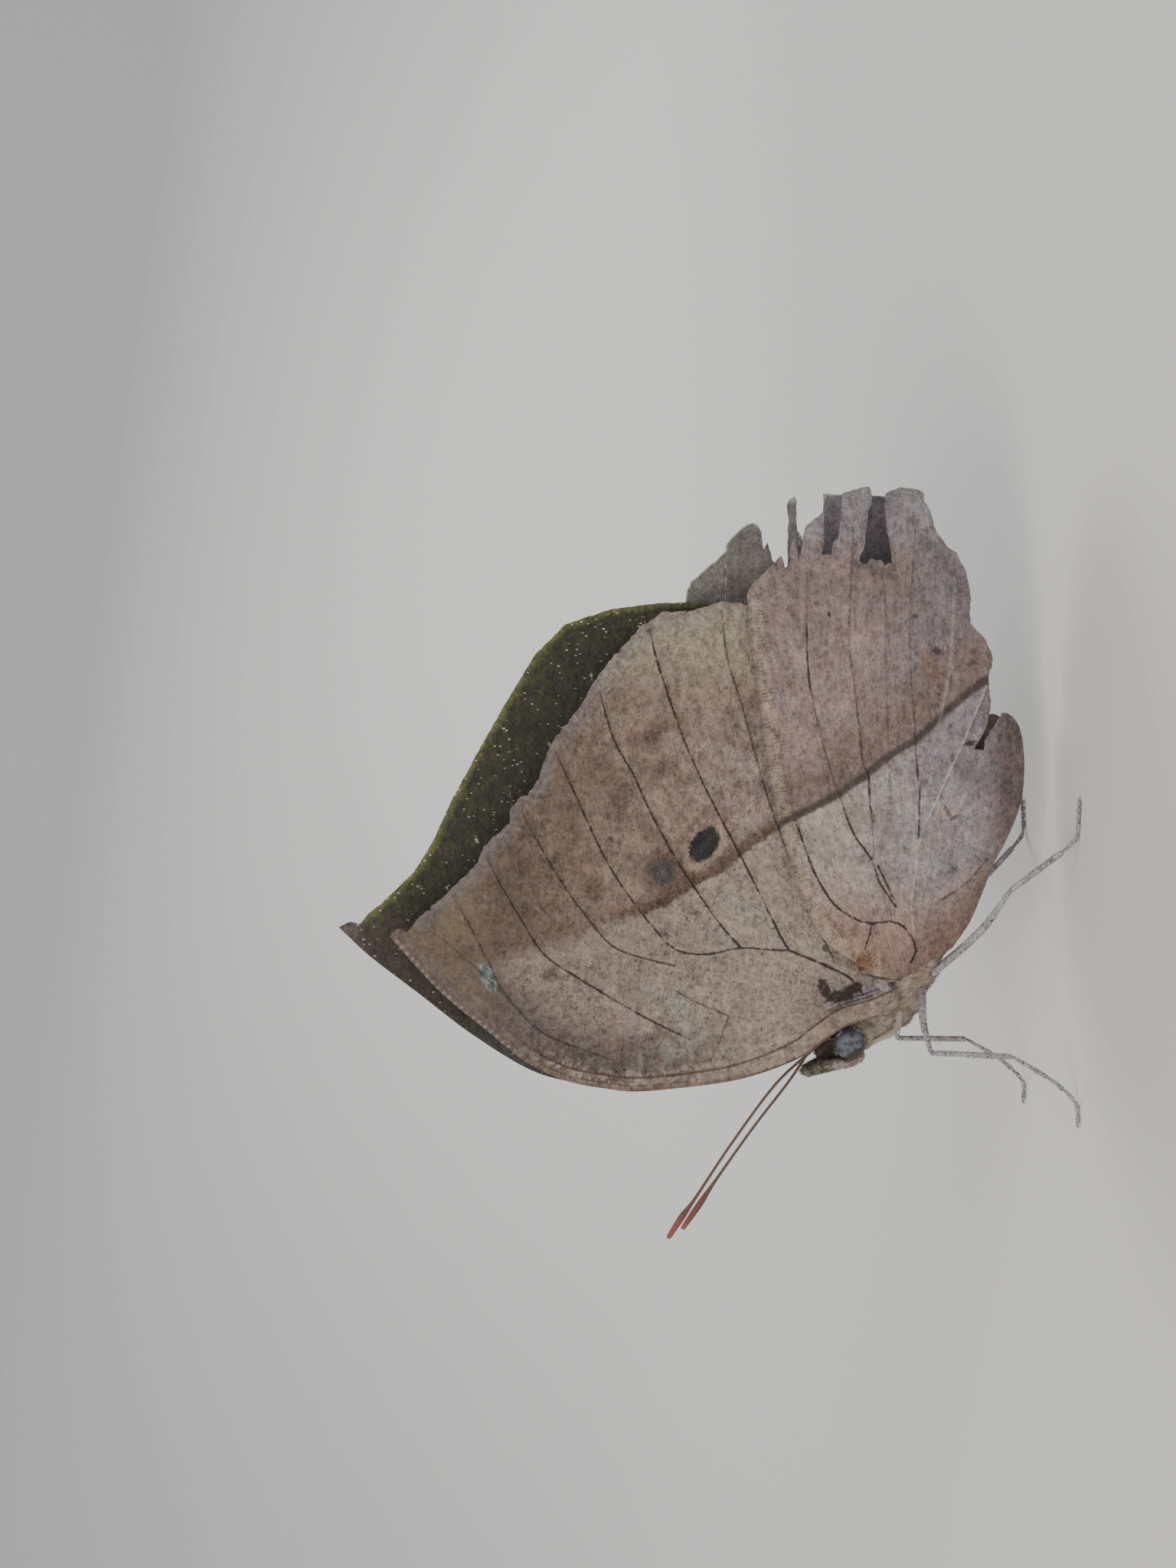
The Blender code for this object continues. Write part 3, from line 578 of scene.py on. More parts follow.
    # A brown hem along the rolled front edge, and a dark line at its very edge near the root: painted shade on the
    # lower side of the roll.
    hem = front.wane(0.2, 0.6) * z.fade(26.0, 34.0) * z.fade(50.0, 55.0, 1.0, 0.3)
    f.lay(hem * 0.7, (0.14, 0.105, 0.082))
    f.lay((front + ragged * 0.3).wane(0.1, 0.28) * z.wane(29.0, 34.0) * 0.75, (0.08, 0.055, 0.045))
    worn = rim + ragged * 2.4
    f.lay(worn.wane(0.2, 1.8) * front.fade(1.8, 3.5) * z.fade(30.0, 38.0) * 0.6, (0.185, 0.166, 0.162))
    tint(f, (0.27, 0.185, 0.13), (0.19, 0.172, 0.165))
    f.lay(eye.wane(0.8, 1.1), (0.031, 0.029, 0.029))
    f.lay(eye.wane(0.2, 0.7) * 0.6, (0.045, 0.045, 0.045))
    f.lay(smudge.wane(0.6, 1.3) * 0.9, (0.056, 0.055, 0.053))
    f.lay(smudge.wane(0.15, 0.6) * 0.6, (0.114, 0.112, 0.106))
    line = ink_line(f, rib, ink * rim.fade(0.4, 4.0, 0.45, 1.0))
    f.lay(line * 0.95, (0.036, 0.028, 0.023))
    bead = (along * 8.4 + ragged * 4.0).math("SINE").fade(-0.1, 0.9)
    f.lay(bead * front.wane(0.22, 0.45) * z.fade(51.0, 55.0) * 0.6, (0.29, 0.262, 0.245))
    calm = z.fade(51.0, 58.0, 1.0, 0.6)
    f.dim(((shade + fibre * 0.7 - 1.0) * calm + 1.0).most(DARKEST_SHADE))
    relief = relief + fibre * 0.6 - line * 0.3
    return f.done(LEAF_ROUGHNESS, gloss=LEAF_GLOSS, relief=relief, depth=LEAF_RELIEF, strength=0.9)


WING_BLUE = (0.040, 0.078, 0.140)


def blue_done(f, shade, relief):
    f.dim(shade.most(DARKEST_SHADE))
    return f.done(0.62, gloss=0.3, relief=relief, depth=0.16, strength=0.8)


def forewing_upperside():
    """The inside of the shut forewings: slate blue, with a pale blue band and a black tip."""
    f = wing_finish("forewing blue side", as_given)
    laid, x, z = f.laid, f.x, f.z
    shade, relief, _ = leaf_grain(f)
    rib, rim, front = map(f.read, ("rib", "rim", "front"))
    cross = x * 0.62 + z * 0.78
    cross = cross + (f.noise(laid, 0.5) - 0.5) * 2.0
    f.colour = f.mix(cross.fade(28.0, 33.0), WING_BLUE, (0.24, 0.34, 0.42))
    f.lay(cross.fade(40.5, 43.5), (0.028, 0.026, 0.016))
    f.lay(oval(f, (1.6, 56.0), 1.9, 0.8, 30.0).wane(0.8, 1.2), (0.42, 0.46, 0.46))
    f.lay(front.wane(3.0, 6.0) * 0.95, (0.045, 0.035, 0.026))
    # Olive scales that turn greener towards the edge, and a yellow-green hem within a millimetre of it: the olive is
    # the scales' own, the green near the edge is painted light shining through the thin edge.
    moss = f.noise(laid, 1.1, 4.0, 0.75).fade(0.46, 0.64) * rim.fade(0.3, 4.5, 1.0, 0.12) * front.fade(1.2, 3.0)
    f.lay(moss * 0.6, (0.066, 0.074, 0.018))
    hem = (rim + (f.noise(laid, 1.5, 3.0, 0.7) - 0.5) * 1.2).wane(0.0, 0.9) * front.fade(1.2, 3.0)
    f.lay(hem * 0.75, (0.125, 0.135, 0.040))
    f.lay(z.fade(67.6, 69.4) * 0.7, (0.115, 0.098, 0.080))
    sown = f.noise(laid, 0.6, 2.0).fade(0.44, 0.52).most(z.fade(62.0, 66.0) * 0.8)
    glint = f.cells(f.stretch(laid, (1.0, 0.45, 1.0)), 2.5).wane(0.08, 0.19) * sown
    f.lay(glint * rim.fade(0.5, 3.5, 1.0, 0.55) * 0.95, (0.60, 0.58, 0.42))
    # Pale dashes along the veins: painted glints in rows along them.
    dash = rib.wane(0.03, 0.2) * f.noise(laid, 1.5, 3.0, 0.7).fade(0.5, 0.56)
    f.lay(rib.wane(0.05, 0.25) * 0.5, (0.022, 0.019, 0.015))
    f.lay(dash * 0.75, (0.34, 0.32, 0.26))
    return blue_done(f, shade, relief)


fore_costa = [
    (-3.0, 19.3), (-3.5, 21.1), (-4.4, 22.6), (-5.2, 23.8), (-6.45, 25.5), (-8.0, 29.3), (-9.1, 33.7), (-9.9, 41.1),
    (-9.6, 44.6),
]
left_costa = fore_costa + [(-8.8, 48.5), (-7.0, 52.3), (-3.8, 56.3), (0.2, 61.0), (5.3, 65.6)]
right_costa = fore_costa + [(-9.0, 48.5), (-7.7, 52.3), (-4.3, 57.7), (-0.5, 62.6), (3.2, 67.4), (6.1, 70.5)]
left_termen = [
    (5.3, 65.6), (6.1, 65.0), (5.7, 64.0), (7.0, 63.0), (9.2, 60.4), (12.2, 57.4), (14.0, 56.6), (16.2, 54.1),
    (17.6, 54.0), (18.8, 53.0), (18.9, 52.3), (21.0, 51.1), (21.8, 50.9), (24.4, 49.7), (27.7, 47.1), (29.9, 45.9),
    (32.2, 44.1), (35.5, 41.1), (36.8, 38.8), (36.7, 36.9), (37.8, 33.2), (37.4, 29.8),
]
right_termen = [
    (6.1, 70.5), (6.6, 69.4), (6.4, 68.4), (7.3, 67.7), (8.5, 66.2), (11.4, 63.2), (14.3, 61.4), (18.4, 59.5),
    (22.5, 57.3), (27.8, 54.3), (32.7, 51.3), (35.7, 48.3), (37.2, 43.7), (37.8, 39.2), (37.9, 34.0), (37.4, 29.8),
]
fore_inner = [
    (37.4, 29.8), (31.0, 26.8), (20.0, 24.0), (11.0, 21.4), (5.2, 19.4), (2.2, 17.8), (0.4, 16.9), (-1.4, 17.2),
    (-2.6, 18.2), (-3.0, 19.3),
]
fore_midrib = [
    (17.0, 24.0), (15.6, 28.3), (14.3, 30.2), (13.2, 31.7), (11.1, 34.4), (9.9, 37.0), (8.2, 39.6), (7.7, 41.1),
    (6.9, 44.1), (5.9, 47.1), (4.8, 50.1), (3.3, 55.3), (3.1, 59.0), (3.4, 64.0), (4.0, 74.0),
]
fore_ribs = [
    ([(-0.6, 19.6), (0.9, 20.6), (2.2, 23.0), (3.7, 26.6)], 1.3),
    ([
        (3.7, 26.6), (5.0, 27.4), (8.4, 29.1), (12.5, 31.2), (16.2, 33.2), (20.7, 35.5), (25.1, 37.4), (29.4, 38.9),
        (33.3, 40.1), (36.6, 40.7),
    ], 1.0),
    ([
        (3.7, 26.6), (3.8, 28.5), (4.0, 31.4), (3.4, 34.8), (3.9, 37.9), (6.5, 40.4), (9.9, 43.0), (13.6, 45.2),
        (19.2, 47.8), (24.0, 50.0),
    ], 0.9),
    ([
        (4.0, 31.4), (6.5, 33.6), (9.5, 35.7), (12.5, 37.7), (16.6, 40.0), (21.2, 42.2), (24.7, 44.1), (31.0, 45.9),
    ], 1.0),
    ([(2.3, 37.9), (3.1, 41.1), (4.3, 44.1), (7.3, 46.7), (10.3, 48.9), (14.7, 51.5), (19.0, 53.8)], 0.7),
    ([(-4.9, 36.4), (-2.5, 41.2), (0.9, 46.9), (3.5, 50.7), (7.0, 53.0), (11.3, 55.5), (15.0, 57.3)], 0.8),
    ([(-6.8, 44.1), (-4.4, 50.3), (-2.4, 52.7), (0.3, 54.9), (2.6, 56.0), (6.1, 57.8), (10.0, 60.0)], 0.6),
    ([(-0.3, 54.7), (2.4, 57.5), (5.2, 60.8), (6.3, 62.6)], 0.35),
    ([
        (-2.0, 20.6), (-4.0, 24.5), (-6.2, 28.4), (-7.2, 33.7), (-8.0, 41.1), (-7.8, 46.0), (-6.0, 51.5),
        (-3.0, 56.0), (-0.5, 58.9),
    ], 0.0),
    ([(2.6, 22.2), (9.0, 25.0), (18.1, 28.6), (27.4, 31.3), (32.2, 32.8), (37.0, 33.4)], 0.6),
    ([(-2.6, 32.6), (-1.4, 35.5), (-0.2, 37.7)], 0.6),
    ([(-2.6, 32.6), (-5.3, 33.6)], 0.45),
]
fore_finishes = (forewing_underside(), forewing_upperside())
for side, word in SIDES:
    front_points, rim_points, wear = (left_costa, left_termen, 0.07) if side < 0 else (right_costa, right_termen, 0.025)
    costa = soft_line(front_points, 0.6)
    termen = torn_line(rim_points, 0.4, wear, 11)
    inner = soft_line(fore_inner[:-1], 1.2)
    ring = np.vstack([costa, termen[1:], inner[1:]])
    front_edge = np.vstack([[(-1.9, 16.4), (-2.6, 18.0)], costa])
    name = "forewing_" + word
    wing = wing_sheet(
        name + "_skin", ring, front_edge, fore_ribs, np.array(fore_midrib), fore_apart, side, fore_finishes
    )
    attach(wing, "root")
    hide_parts(name)

# The hindwings
# They are the same scaled sheets on the same kind of veins, hinged behind the forewings and partly over them.
# Their outer lobes are torn, and their inner edges fold down as a trough for the abdomen.
HIND_APART = 2.25
HIND_SWELL = 1.15
HIND_SWELL_REACH = 8.5
FOLD_LOW = 5.4
FOLD_MIDDLE = 22.5
FOLD_CURVE = 0.021
FOLD_DEPTH = 2.75


def hind_apart(x, z):
    """How far a hindwing stands from the middle plane; its inner edge folds round the abdomen."""
    flat = stand_off(x, z, HIND_APART, HIND_SWELL, HIND_SWELL_REACH)
    belly = FOLD_LOW + FOLD_CURVE * (x - FOLD_MIDDLE) ** 2
    below = np.clip(belly - z, 0.0, 2.2) * np.clip((x - 5.0) / 4.0, 0.0, 1.0)
    return flat * np.sqrt(1.0 - (below / FOLD_DEPTH) ** 2)


def hindwing_underside():
    f = wing_finish("hindwing dead leaf side")
    laid, x, z, ragged = f.laid, f.x, f.z, ragged_edge(f, 2.4)
    shade, relief, fan = leaf_grain(f, 0.6)
    rib, ink, rim, front, along, midrib = map(f.read, WING_MEASURES)
    fibre = f.noise(f.stretch(fan, (3.4, 2.2, 1.0)), 1.0, 3.0, 0.6) - 0.5
    edge = midrib + (f.noise(laid, 1.1, 2.0) - 0.5) * 0.4 + ragged * 0.4
    inner = f.mix(z.fade(12.0, 24.0), (0.318, 0.282, 0.280), (0.378, 0.325, 0.290))
    inner = f.mix(x.wane(4.0, 13.0), inner, (0.288, 0.208, 0.176))
    inner = f.mix(x.fade(17.5, 20.5) * z.fade(15.0, 12.5), inner, (0.262, 0.236, 0.246))
    outer = f.mix(z.fade(13.0, 20.0), (0.202, 0.173, 0.175), (0.268, 0.212, 0.192))
    outer = f.mix(x.fade(32.0, 40.0), outer, (0.207, 0.163, 0.151))
    outer = f.mix(z.fade(16.0, 13.0) * x.fade(33.0, 36.0), outer, (0.190, 0.161, 0.166))
    outer = f.mix(x.fade(42.0, 45.0), outer, (0.246, 0.228, 0.233))
    outer = f.mix(edge.wane(2.0, 7.0), outer, (0.188, 0.143, 0.127))
    f.colour = f.mix(edge.fade(-0.1, 0.2), inner, outer)
    lip = f.mix(x.fade(32.0, 36.0), (0.355, 0.278, 0.225), (0.36, 0.325, 0.25))
    f.lay(front.wane(0.8, 1.7) * x.fade(34.0, 37.0, 1.0, 0.6) * 0.9, lip)
    rills = (along * 17.0 + ragged * 5.0).math("SINE").fade(0.2, 1.0) * front.wane(1.4, 2.6)
    f.lay(rills * f.noise(laid, 0.8, 2.0).fade(0.42, 0.56) * 0.4, (0.16, 0.12, 0.10))
    ladder = (along * 3.1 + ragged * 3.0).math("FRACT")
    rungs = ladder.wane(0.0, 0.25).most(ladder.fade(0.75, 1.0)) * front.wane(1.2, 3.0)
    rungs = rungs * f.noise(laid, 1.2).fade(0.45, 0.6)
    f.lay(rungs * 0.7, (0.10, 0.074, 0.062))
    # The folded trough at the inner edge: warm brown, painted darker as shade where it curves down round the abdomen.
    fold = z.wane(5.2, 8.8) * x.wane(27.0, 31.0)
    fold = fold.most((z + x * 0.62).wane(13.6, 18.0) * x.wane(12.0, 16.0))
    fold_brown_and_shade = f.mix(x.fade(10.0, 18.0), (0.172, 0.120, 0.100), (0.122, 0.093, 0.090))
    f.lay(fold * 0.95, fold_brown_and_shade)
    f.lay(f.noise(laid, 0.36, 4.0, 0.6).fade(0.46, 0.64) * 0.35, (0.160, 0.128, 0.116))
    warm = f.noise(laid, 0.5, 3.0, 0.6).fade(0.53, 0.68) * edge.fade(-5.0, -1.0, 1.0, 0.3)
    f.lay(warm * 0.35, (0.28, 0.21, 0.16))
    lay_marks(f, [((31.4, 12.9), 1.7, 1.2, 20.0, 1.4, 0.5, 1.5, 0.6, (0.13, 0.088, 0.072))])
    mould = oval(f, (21.5, 9.0), 1.6, 0.9, 50.0).least(oval(f, (11.6, 10.9), 1.0, 0.8, 0.0)) + ragged * 1.8
    f.lay(mould.wane(0.3, 1.5) * 0.5, (0.11, 0.098, 0.098))
    specks = (
        ((33.0, 12.2), 0.75, 0.42, 70.0, 0.85),
        ((36.5, 23.0), 0.3, 0.2, 20.0, 0.95),
        ((36.4, 14.5), 0.32, 0.24, 60.0, 0.9),
        ((24.0, 8.7), 0.9, 0.3, 100.0, 0.9),
        ((17.3, 11.2), 0.7, 0.22, 30.0, 0.7),
        ((16.7, 10.5), 0.6, 0.2, 120.0, 0.7),
    )
    lay_marks(f, [(*speck, 1.1, 0.5, 1.3, dark, (0.05, 0.042, 0.04)) for *speck, dark in specks])
    crease = oval(f, (22.4, 13.3), 2.4, 0.12, -20.0).least(oval(f, (28.0, 11.6), 5.0, 0.14, -14.0) + 0.25)
    f.lay((crease + ragged * 0.8).wane(0.6, 1.4) * 0.4, (0.36, 0.33, 0.32))
    # Dark spots at the base of the torn notch: partly stain, partly painted shadow in the notch.
    notch_stain_and_shadow = (80.0, 2.0, 0.3, 1.5, 0.7, (0.085, 0.066, 0.058))
    lay_marks(f, [((41.3, 19.5), 1.2, 0.6, *notch_stain_and_shadow), ((40.8, 17.4), 1.3, 0.7, *notch_stain_and_shadow)])
    base_marks(f)
    f.lay(rim.wane(0.1, 0.5) * x.fade(6.0, 10.0) * 0.45, (0.15, 0.135, 0.13))
    f.lay(flecks(f) * 0.6, (0.075, 0.064, 0.058))
    tint(f, (0.28, 0.195, 0.145), (0.21, 0.195, 0.195))
    band = edge.fade(-0.66, -0.22) * edge.wane(0.08, 0.62)
    f.lay(band * 0.95, (0.066, 0.054, 0.048))
    line = ink_line(f, rib, ink * x.fade(24.0, 36.0, 1.0, 0.8))
    f.lay(line * 0.95, (0.038, 0.030, 0.026))
    bare = rib.wane(0.06, 0.22) * (-ink).fade(0.0, 1.0)
    f.lay(bare * x.fade(6.0, 14.0, 0.35, 0.75), (0.40, 0.37, 0.355))
    f.dim(((shade + fibre * 0.7 - 1.0) * (1.0 - band * 0.45) + 1.0).most(DARKEST_SHADE))
    relief = relief + fibre * 0.5 + bare * 0.4 - line * 0.3 - rungs * 0.3
    return f.done(LEAF_ROUGHNESS, gloss=LEAF_GLOSS, relief=relief, depth=LEAF_RELIEF, strength=0.9)


def hindwing_upperside():
    """The inside of the shut hindwings: slate blue, with brown borders that are worn grey on the torn lobes."""
    f = wing_finish("hindwing blue side", as_given)
    laid, x, z = f.laid, f.x, f.z
    shade, relief, _ = leaf_grain(f)
    rib, rim, front = map(f.read, ("rib", "rim", "front"))
    f.colour = f.mix(front.fade(3.0, 8.0), (0.17, 0.15, 0.13), WING_BLUE)
    f.lay(x.fade(33.0, 38.0), (0.145, 0.127, 0.133))
    f.lay(x.fade(33.0, 38.0) * z.fade(22.0, 27.0), (0.142, 0.126, 0.110))
    f.lay(x.fade(33.0, 38.0) * z.fade(31.6, 33.0), (0.186, 0.167, 0.150))
    f.lay(z.wane(9.0, 12.0), (0.16, 0.125, 0.105))
    f.lay(rib.wane(0.05, 0.25) * 0.6, (0.05, 0.043, 0.038))
    dash = rib.wane(0.03, 0.16) * f.noise(laid, 1.0, 2.0).fade(0.5, 0.58)
    f.lay(dash * 0.5, (0.30, 0.27, 0.24))
    for row, reach in ((32.35, 42.6), (30.4, 39.5), (28.7, 41.0), (24.9, 60.0)):
        line = (z - row + (f.noise(laid, 0.7) - 0.5) * 0.3).size()
        line = line + x.wane(34.0, 37.0) + x.fade(reach - 1.0, reach + 0.5)
        f.lay(line.wane(0.06, 0.2) * 0.55, (0.075, 0.066, 0.058))
        broken = f.noise(laid, 1.4, 2.0).fade(0.46, 0.54)
        f.lay(line.wane(0.02, 0.1) * broken * 0.7, (0.40, 0.39, 0.37))
    frayed = (rim + (f.noise(laid, 2.0, 2.0) - 0.5) * 0.3).wane(0.04, 0.2) * x.fade(36.0, 39.0)
    frayed = frayed * z.fade(28.0, 30.0).most(x.fade(47.6, 48.2) * 0.8)
    f.lay(frayed * 0.7, (0.38, 0.375, 0.35))
    return blue_done(f, shade, relief)


hind_root = [(4.0, 10.9), (2.4, 13.6), (1.0, 15.9), (0.6, 17.9)]
left_lead = [
    (0.6, 17.9), (2.2, 19.8), (3.6, 22.0), (4.9, 23.5), (7.3, 24.8), (9.8, 25.9), (13.2, 27.0), (16.4, 27.9),
    (21.8, 28.9), (29.2, 30.0), (33.7, 30.7), (37.4, 31.0),
]
right_lead = [(0.6, 17.9), (2.3, 20.2), (5.2, 23.6), (12.0, 27.6), (20.0, 30.8), (29.0, 34.0), (37.0, 36.3)]
left_margin = [
    (37.4, 31.0), (38.3, 31.1), (39.6, 30.4), (40.3, 29.6), (41.0, 28.9), (42.2, 27.7), (40.8, 27.2), (41.5, 26.9),
    (43.0, 26.8), (43.9, 26.45), (43.0, 26.2), (41.7, 26.1), (42.2, 25.8), (44.1, 25.6), (45.1, 25.3), (45.6, 24.7),
    (46.5, 23.5), (44.0, 23.5), (42.3, 23.7), (42.25, 22.8), (43.5, 22.6), (43.9, 22.1), (45.4, 21.9), (48.3, 21.7),
    (48.7, 20.3), (49.0, 19.0), (47.7, 18.8), (46.4, 19.2), (44.9, 19.3), (43.2, 19.5), (41.7, 20.0), (41.4, 19.3),
    (42.0, 18.9), (41.8, 18.3), (41.9, 17.9), (41.3, 17.5), (41.6, 17.0), (41.5, 16.7), (42.8, 16.9), (45.0, 17.3),
    (47.2, 17.5), (48.4, 17.2), (48.8, 16.6), (49.1, 15.6), (48.9, 14.0), (48.5, 13.3), (47.7, 13.3), (46.8, 12.7),
    (45.8, 12.4), (44.6, 12.0), (43.9, 11.4), (43.2, 10.9), (42.8, 10.1), (41.7, 9.6), (40.9, 9.1), (39.4, 8.8),
    (38.3, 8.7), (36.8, 9.0), (35.8, 8.9), (34.9, 8.1), (34.1, 7.3), (33.1, 6.8), (32.2, 6.6), (30.8, 7.0),
    (30.1, 7.0), (29.1, 6.9), (27.4, 6.8), (26.2, 7.1), (25.3, 7.4), (24.2, 8.0), (23.4, 8.5), (23.3, 7.5),
    (24.2, 7.4), (25.2, 6.9), (26.1, 6.2), (27.0, 5.7),
]
right_margin = [
    (37.0, 36.3), (38.8, 36.2), (40.0, 35.8), (41.1, 34.5), (42.3, 33.1), (43.1, 32.3), (43.9, 32.1), (45.0, 31.1),
    (45.8, 30.1), (45.9, 29.5), (45.6, 29.0), (45.0, 28.7), (44.1, 28.6), (43.3, 28.5), (44.0, 28.1), (42.6, 27.7),
    (41.6, 27.3), (41.3, 26.8), (41.6, 26.1), (43.4, 26.1), (46.4, 25.95), (47.6, 26.15), (48.2, 25.95), (48.6, 25.3),
    (48.0, 25.1), (46.4, 25.2), (45.2, 25.1), (44.6, 24.7), (43.3, 24.2), (44.2, 23.4), (45.2, 22.9), (47.1, 22.5),
    (48.9, 22.5), (48.8, 21.2), (49.0, 20.0), (48.6, 18.2), (48.6, 16.3), (48.0, 13.9), (45.6, 12.0), (42.6, 9.9),
    (38.4, 8.6), (35.0, 7.9), (32.0, 6.6), (28.6, 7.0), (25.6, 7.9), (25.4, 6.9), (27.0, 5.7),
]
fold_edge = [
    (27.0, 5.7), (27.0, 5.2), (26.6, 4.5), (25.6, 3.8), (24.6, 3.5), (22.0, 3.25), (18.4, 3.6), (14.8, 5.2),
    (12.2, 6.7), (9.2, 7.9), (6.6, 9.1), (4.0, 10.9),
]
hind_midrib = [
    (33.0, 2.0), (31.4, 5.7), (30.4, 7.1), (28.9, 9.2), (27.4, 11.1), (25.9, 12.6), (24.2, 14.5), (22.9, 16.8),
    (20.3, 20.2), (18.8, 22.5), (17.7, 24.7), (16.0, 28.1), (15.0, 34.0),
]
hind_ribs = [
    ([
        (2.6, 15.0), (3.8, 14.5), (5.2, 15.0), (6.1, 15.7), (6.6, 17.0), (6.4, 18.8), (6.6, 19.9), (7.2, 21.0),
        (8.0, 22.2), (9.6, 23.4), (12.1, 24.7), (16.6, 26.3),
    ], 1.1),
    ([(16.6, 26.3), (17.9, 26.7), (21.6, 27.6), (27.1, 28.8), (32.1, 29.7), (35.5, 30.0), (38.6, 29.8)], 0.2),
    ([(6.4, 18.8), (5.4, 19.0), (3.9, 19.5)], 0.8),
    ([
        (8.0, 16.4), (10.4, 18.0), (11.6, 18.4), (12.7, 18.8), (13.6, 19.4), (14.6, 20.2), (16.0, 20.9), (17.4, 21.4),
    ], 1.0),
    ([(17.4, 21.4), (18.8, 21.9), (21.0, 22.7), (25.5, 24.0), (29.6, 24.9)], 0.45),
    ([(29.6, 24.9), (32.4, 25.15), (35.1, 25.2)], 0.95),
    ([(35.1, 25.2), (40.6, 25.2)], 0.35),
    ([(12.4, 18.6), (13.3, 18.5), (15.6, 18.6), (16.9, 18.7), (17.6, 18.8)], 0.4),
    ([(17.6, 18.8), (18.1, 18.9), (20.8, 19.0)], 1.1),
    ([(20.8, 19.0), (22.0, 19.6), (25.0, 19.9), (30.7, 20.6), (34.5, 21.0), (45.0, 20.6)], 0.5),
    ([(9.0, 16.7), (10.5, 17.4), (12.0, 18.1)], 0.9),
    ([(17.0, 18.25), (18.6, 18.3), (20.2, 18.5)], 0.3),
    ([(18.1, 16.8), (25.0, 17.1), (31.5, 17.3), (37.4, 17.4), (41.0, 17.8)], 0.35),
    ([(14.7, 14.1), (16.9, 13.95), (18.1, 14.0), (19.7, 13.95), (21.6, 14.2), (23.5, 14.3)], 0.75),
    ([(23.5, 14.3), (27.0, 14.5), (31.7, 14.9), (37.5, 14.9), (46.6, 14.4)], 0.45),
    ([(18.8, 14.1), (21.8, 13.7), (24.0, 13.0), (26.0, 12.0), (30.3, 11.1), (36.8, 10.6), (41.6, 10.4)], -0.35),
    ([
        (5.4, 14.6), (6.4, 14.75), (8.4, 14.9), (11.2, 14.4), (13.5, 14.2), (14.8, 13.8), (16.4, 13.2), (18.1, 12.4),
        (21.0, 11.0), (24.0, 9.6), (29.6, 7.2),
    ], -1.0),
    ([(6.8, 13.5), (13.6, 11.4), (18.8, 9.4), (22.9, 7.6)], -0.2),
    ([(8.6, 12.1), (10.2, 9.6), (12.6, 7.4)], 0.5),
]
hind_finishes = (hindwing_underside(), hindwing_upperside())
for side, word in SIDES:
    lead = soft_line(left_lead if side < 0 else right_lead, 0.6)
    margin = torn_line(left_margin if side < 0 else right_margin, 0.4, 0.045, 12)
    fold = soft_line(fold_edge, 0.8)
    root = soft_line(hind_root, 0.8)
    ring = np.vstack([lead, margin[1:], fold[1:], root[1:-1]])
    name = "hindwing_" + word
    wing = wing_sheet(name + "_skin", ring, lead, hind_ribs, np.array(hind_midrib), hind_apart, side, hind_finishes)
    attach(wing, "root")
    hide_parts(name)

# The head, thorax and abdomen
# A hard shell under flat scales and a short buff pile of hair, thickest on the breast.
# The wings grow from the shoulders, and the thin abdomen lies in the trough of the hindwings.
THORAX_AT = np.array((1.8, 0.0, 15.7))
THORAX_HALF_LENGTH = 6.2
BODY_PITCH = math.radians(36.9)
TAILWARD = np.array((math.cos(BODY_PITCH), 0.0, -math.sin(BODY_PITCH)))
BACKWARD = np.array((math.sin(BODY_PITCH), 0.0, math.cos(BODY_PITCH)))
EYE_AT = np.array((-5.52, 1.42, 20.62))
PILE_DEPTH = 0.14
BODY_LINE = np.array([
    (-7.2, 22.0), (-5.1, 20.5), (-2.9, 19.2), (6.8, 11.9), (8.6, 9.8), (12.0, 7.9), (16.0, 6.5), (20.0, 5.7),
    (25.4, 5.9),
])
BAKE_PATCH = 0.003
UV_RIM = 0.002


def laid(points):
    """Points of a piece in the millimetres of the layout, from its metres in the row."""
    return (points - np.array(LAID_TO_ROW)) / MM


def values_of(rows, key):
    """One vector for each row of a mesh's data."""
    flat = np.empty(len(rows) * 3)
    rows.foreach_get(key, flat)
    return flat.reshape(-1, 3)


def baked(thing, name):
    """A plain mesh of what an object's modifiers make of it."""
    mesh = bpy.data.meshes.new_from_object(thing.evaluated_get(bpy.context.evaluated_depsgraph_get()))
    mesh.name = name
    return mesh


def ball_place(centre, radii):
    return Matrix.Translation(Vector(centre) * MM + LAID_TO_ROW) @ Matrix.Diagonal((*[r * MM for r in radii], 1.0))


def grown_together(name, nodes, balls, grain, rounds, depth, finish):
    """One closed skin over copies of these CAD nodes and the balls that bridge them, set in by the coat's depth."""
    work = bmesh.new()
    for node in nodes:
        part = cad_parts[node].data.copy()
        work.from_mesh(part)
        bpy.data.meshes.remove(part)
    for ball in balls:
        bmesh.ops.create_uvsphere(work, u_segments=28, v_segments=16, radius=1.0, matrix=ball_place(*ball))
    bmesh.ops.remove_doubles(work, verts=work.verts, dist=1e-7)
    rough = bpy.data.meshes.new(name + "_rough")
    work.to_mesh(rough)
    work.free()
    maker = placed(name + "_rough", rough)
    wrap = maker.modifiers.new("wrap", "REMESH")
    wrap.mode = "VOXEL"
    wrap.voxel_size = grain * MM
    ease = maker.modifiers.new("ease", "SMOOTH")
    ease.factor = 0.5
    ease.iterations = rounds
    mesh = baked(maker, name)
    bpy.data.objects.remove(maker)
    bpy.data.meshes.remove(rough)
    spots = values_of(mesh.vertices, "co") - values_of(mesh.vertex_normals, "vector") * depth * MM
    mesh.vertices.foreach_set("co", spots.ravel())
    mesh.materials.clear()
    mesh.update()
    return placed(name, mesh, finish)


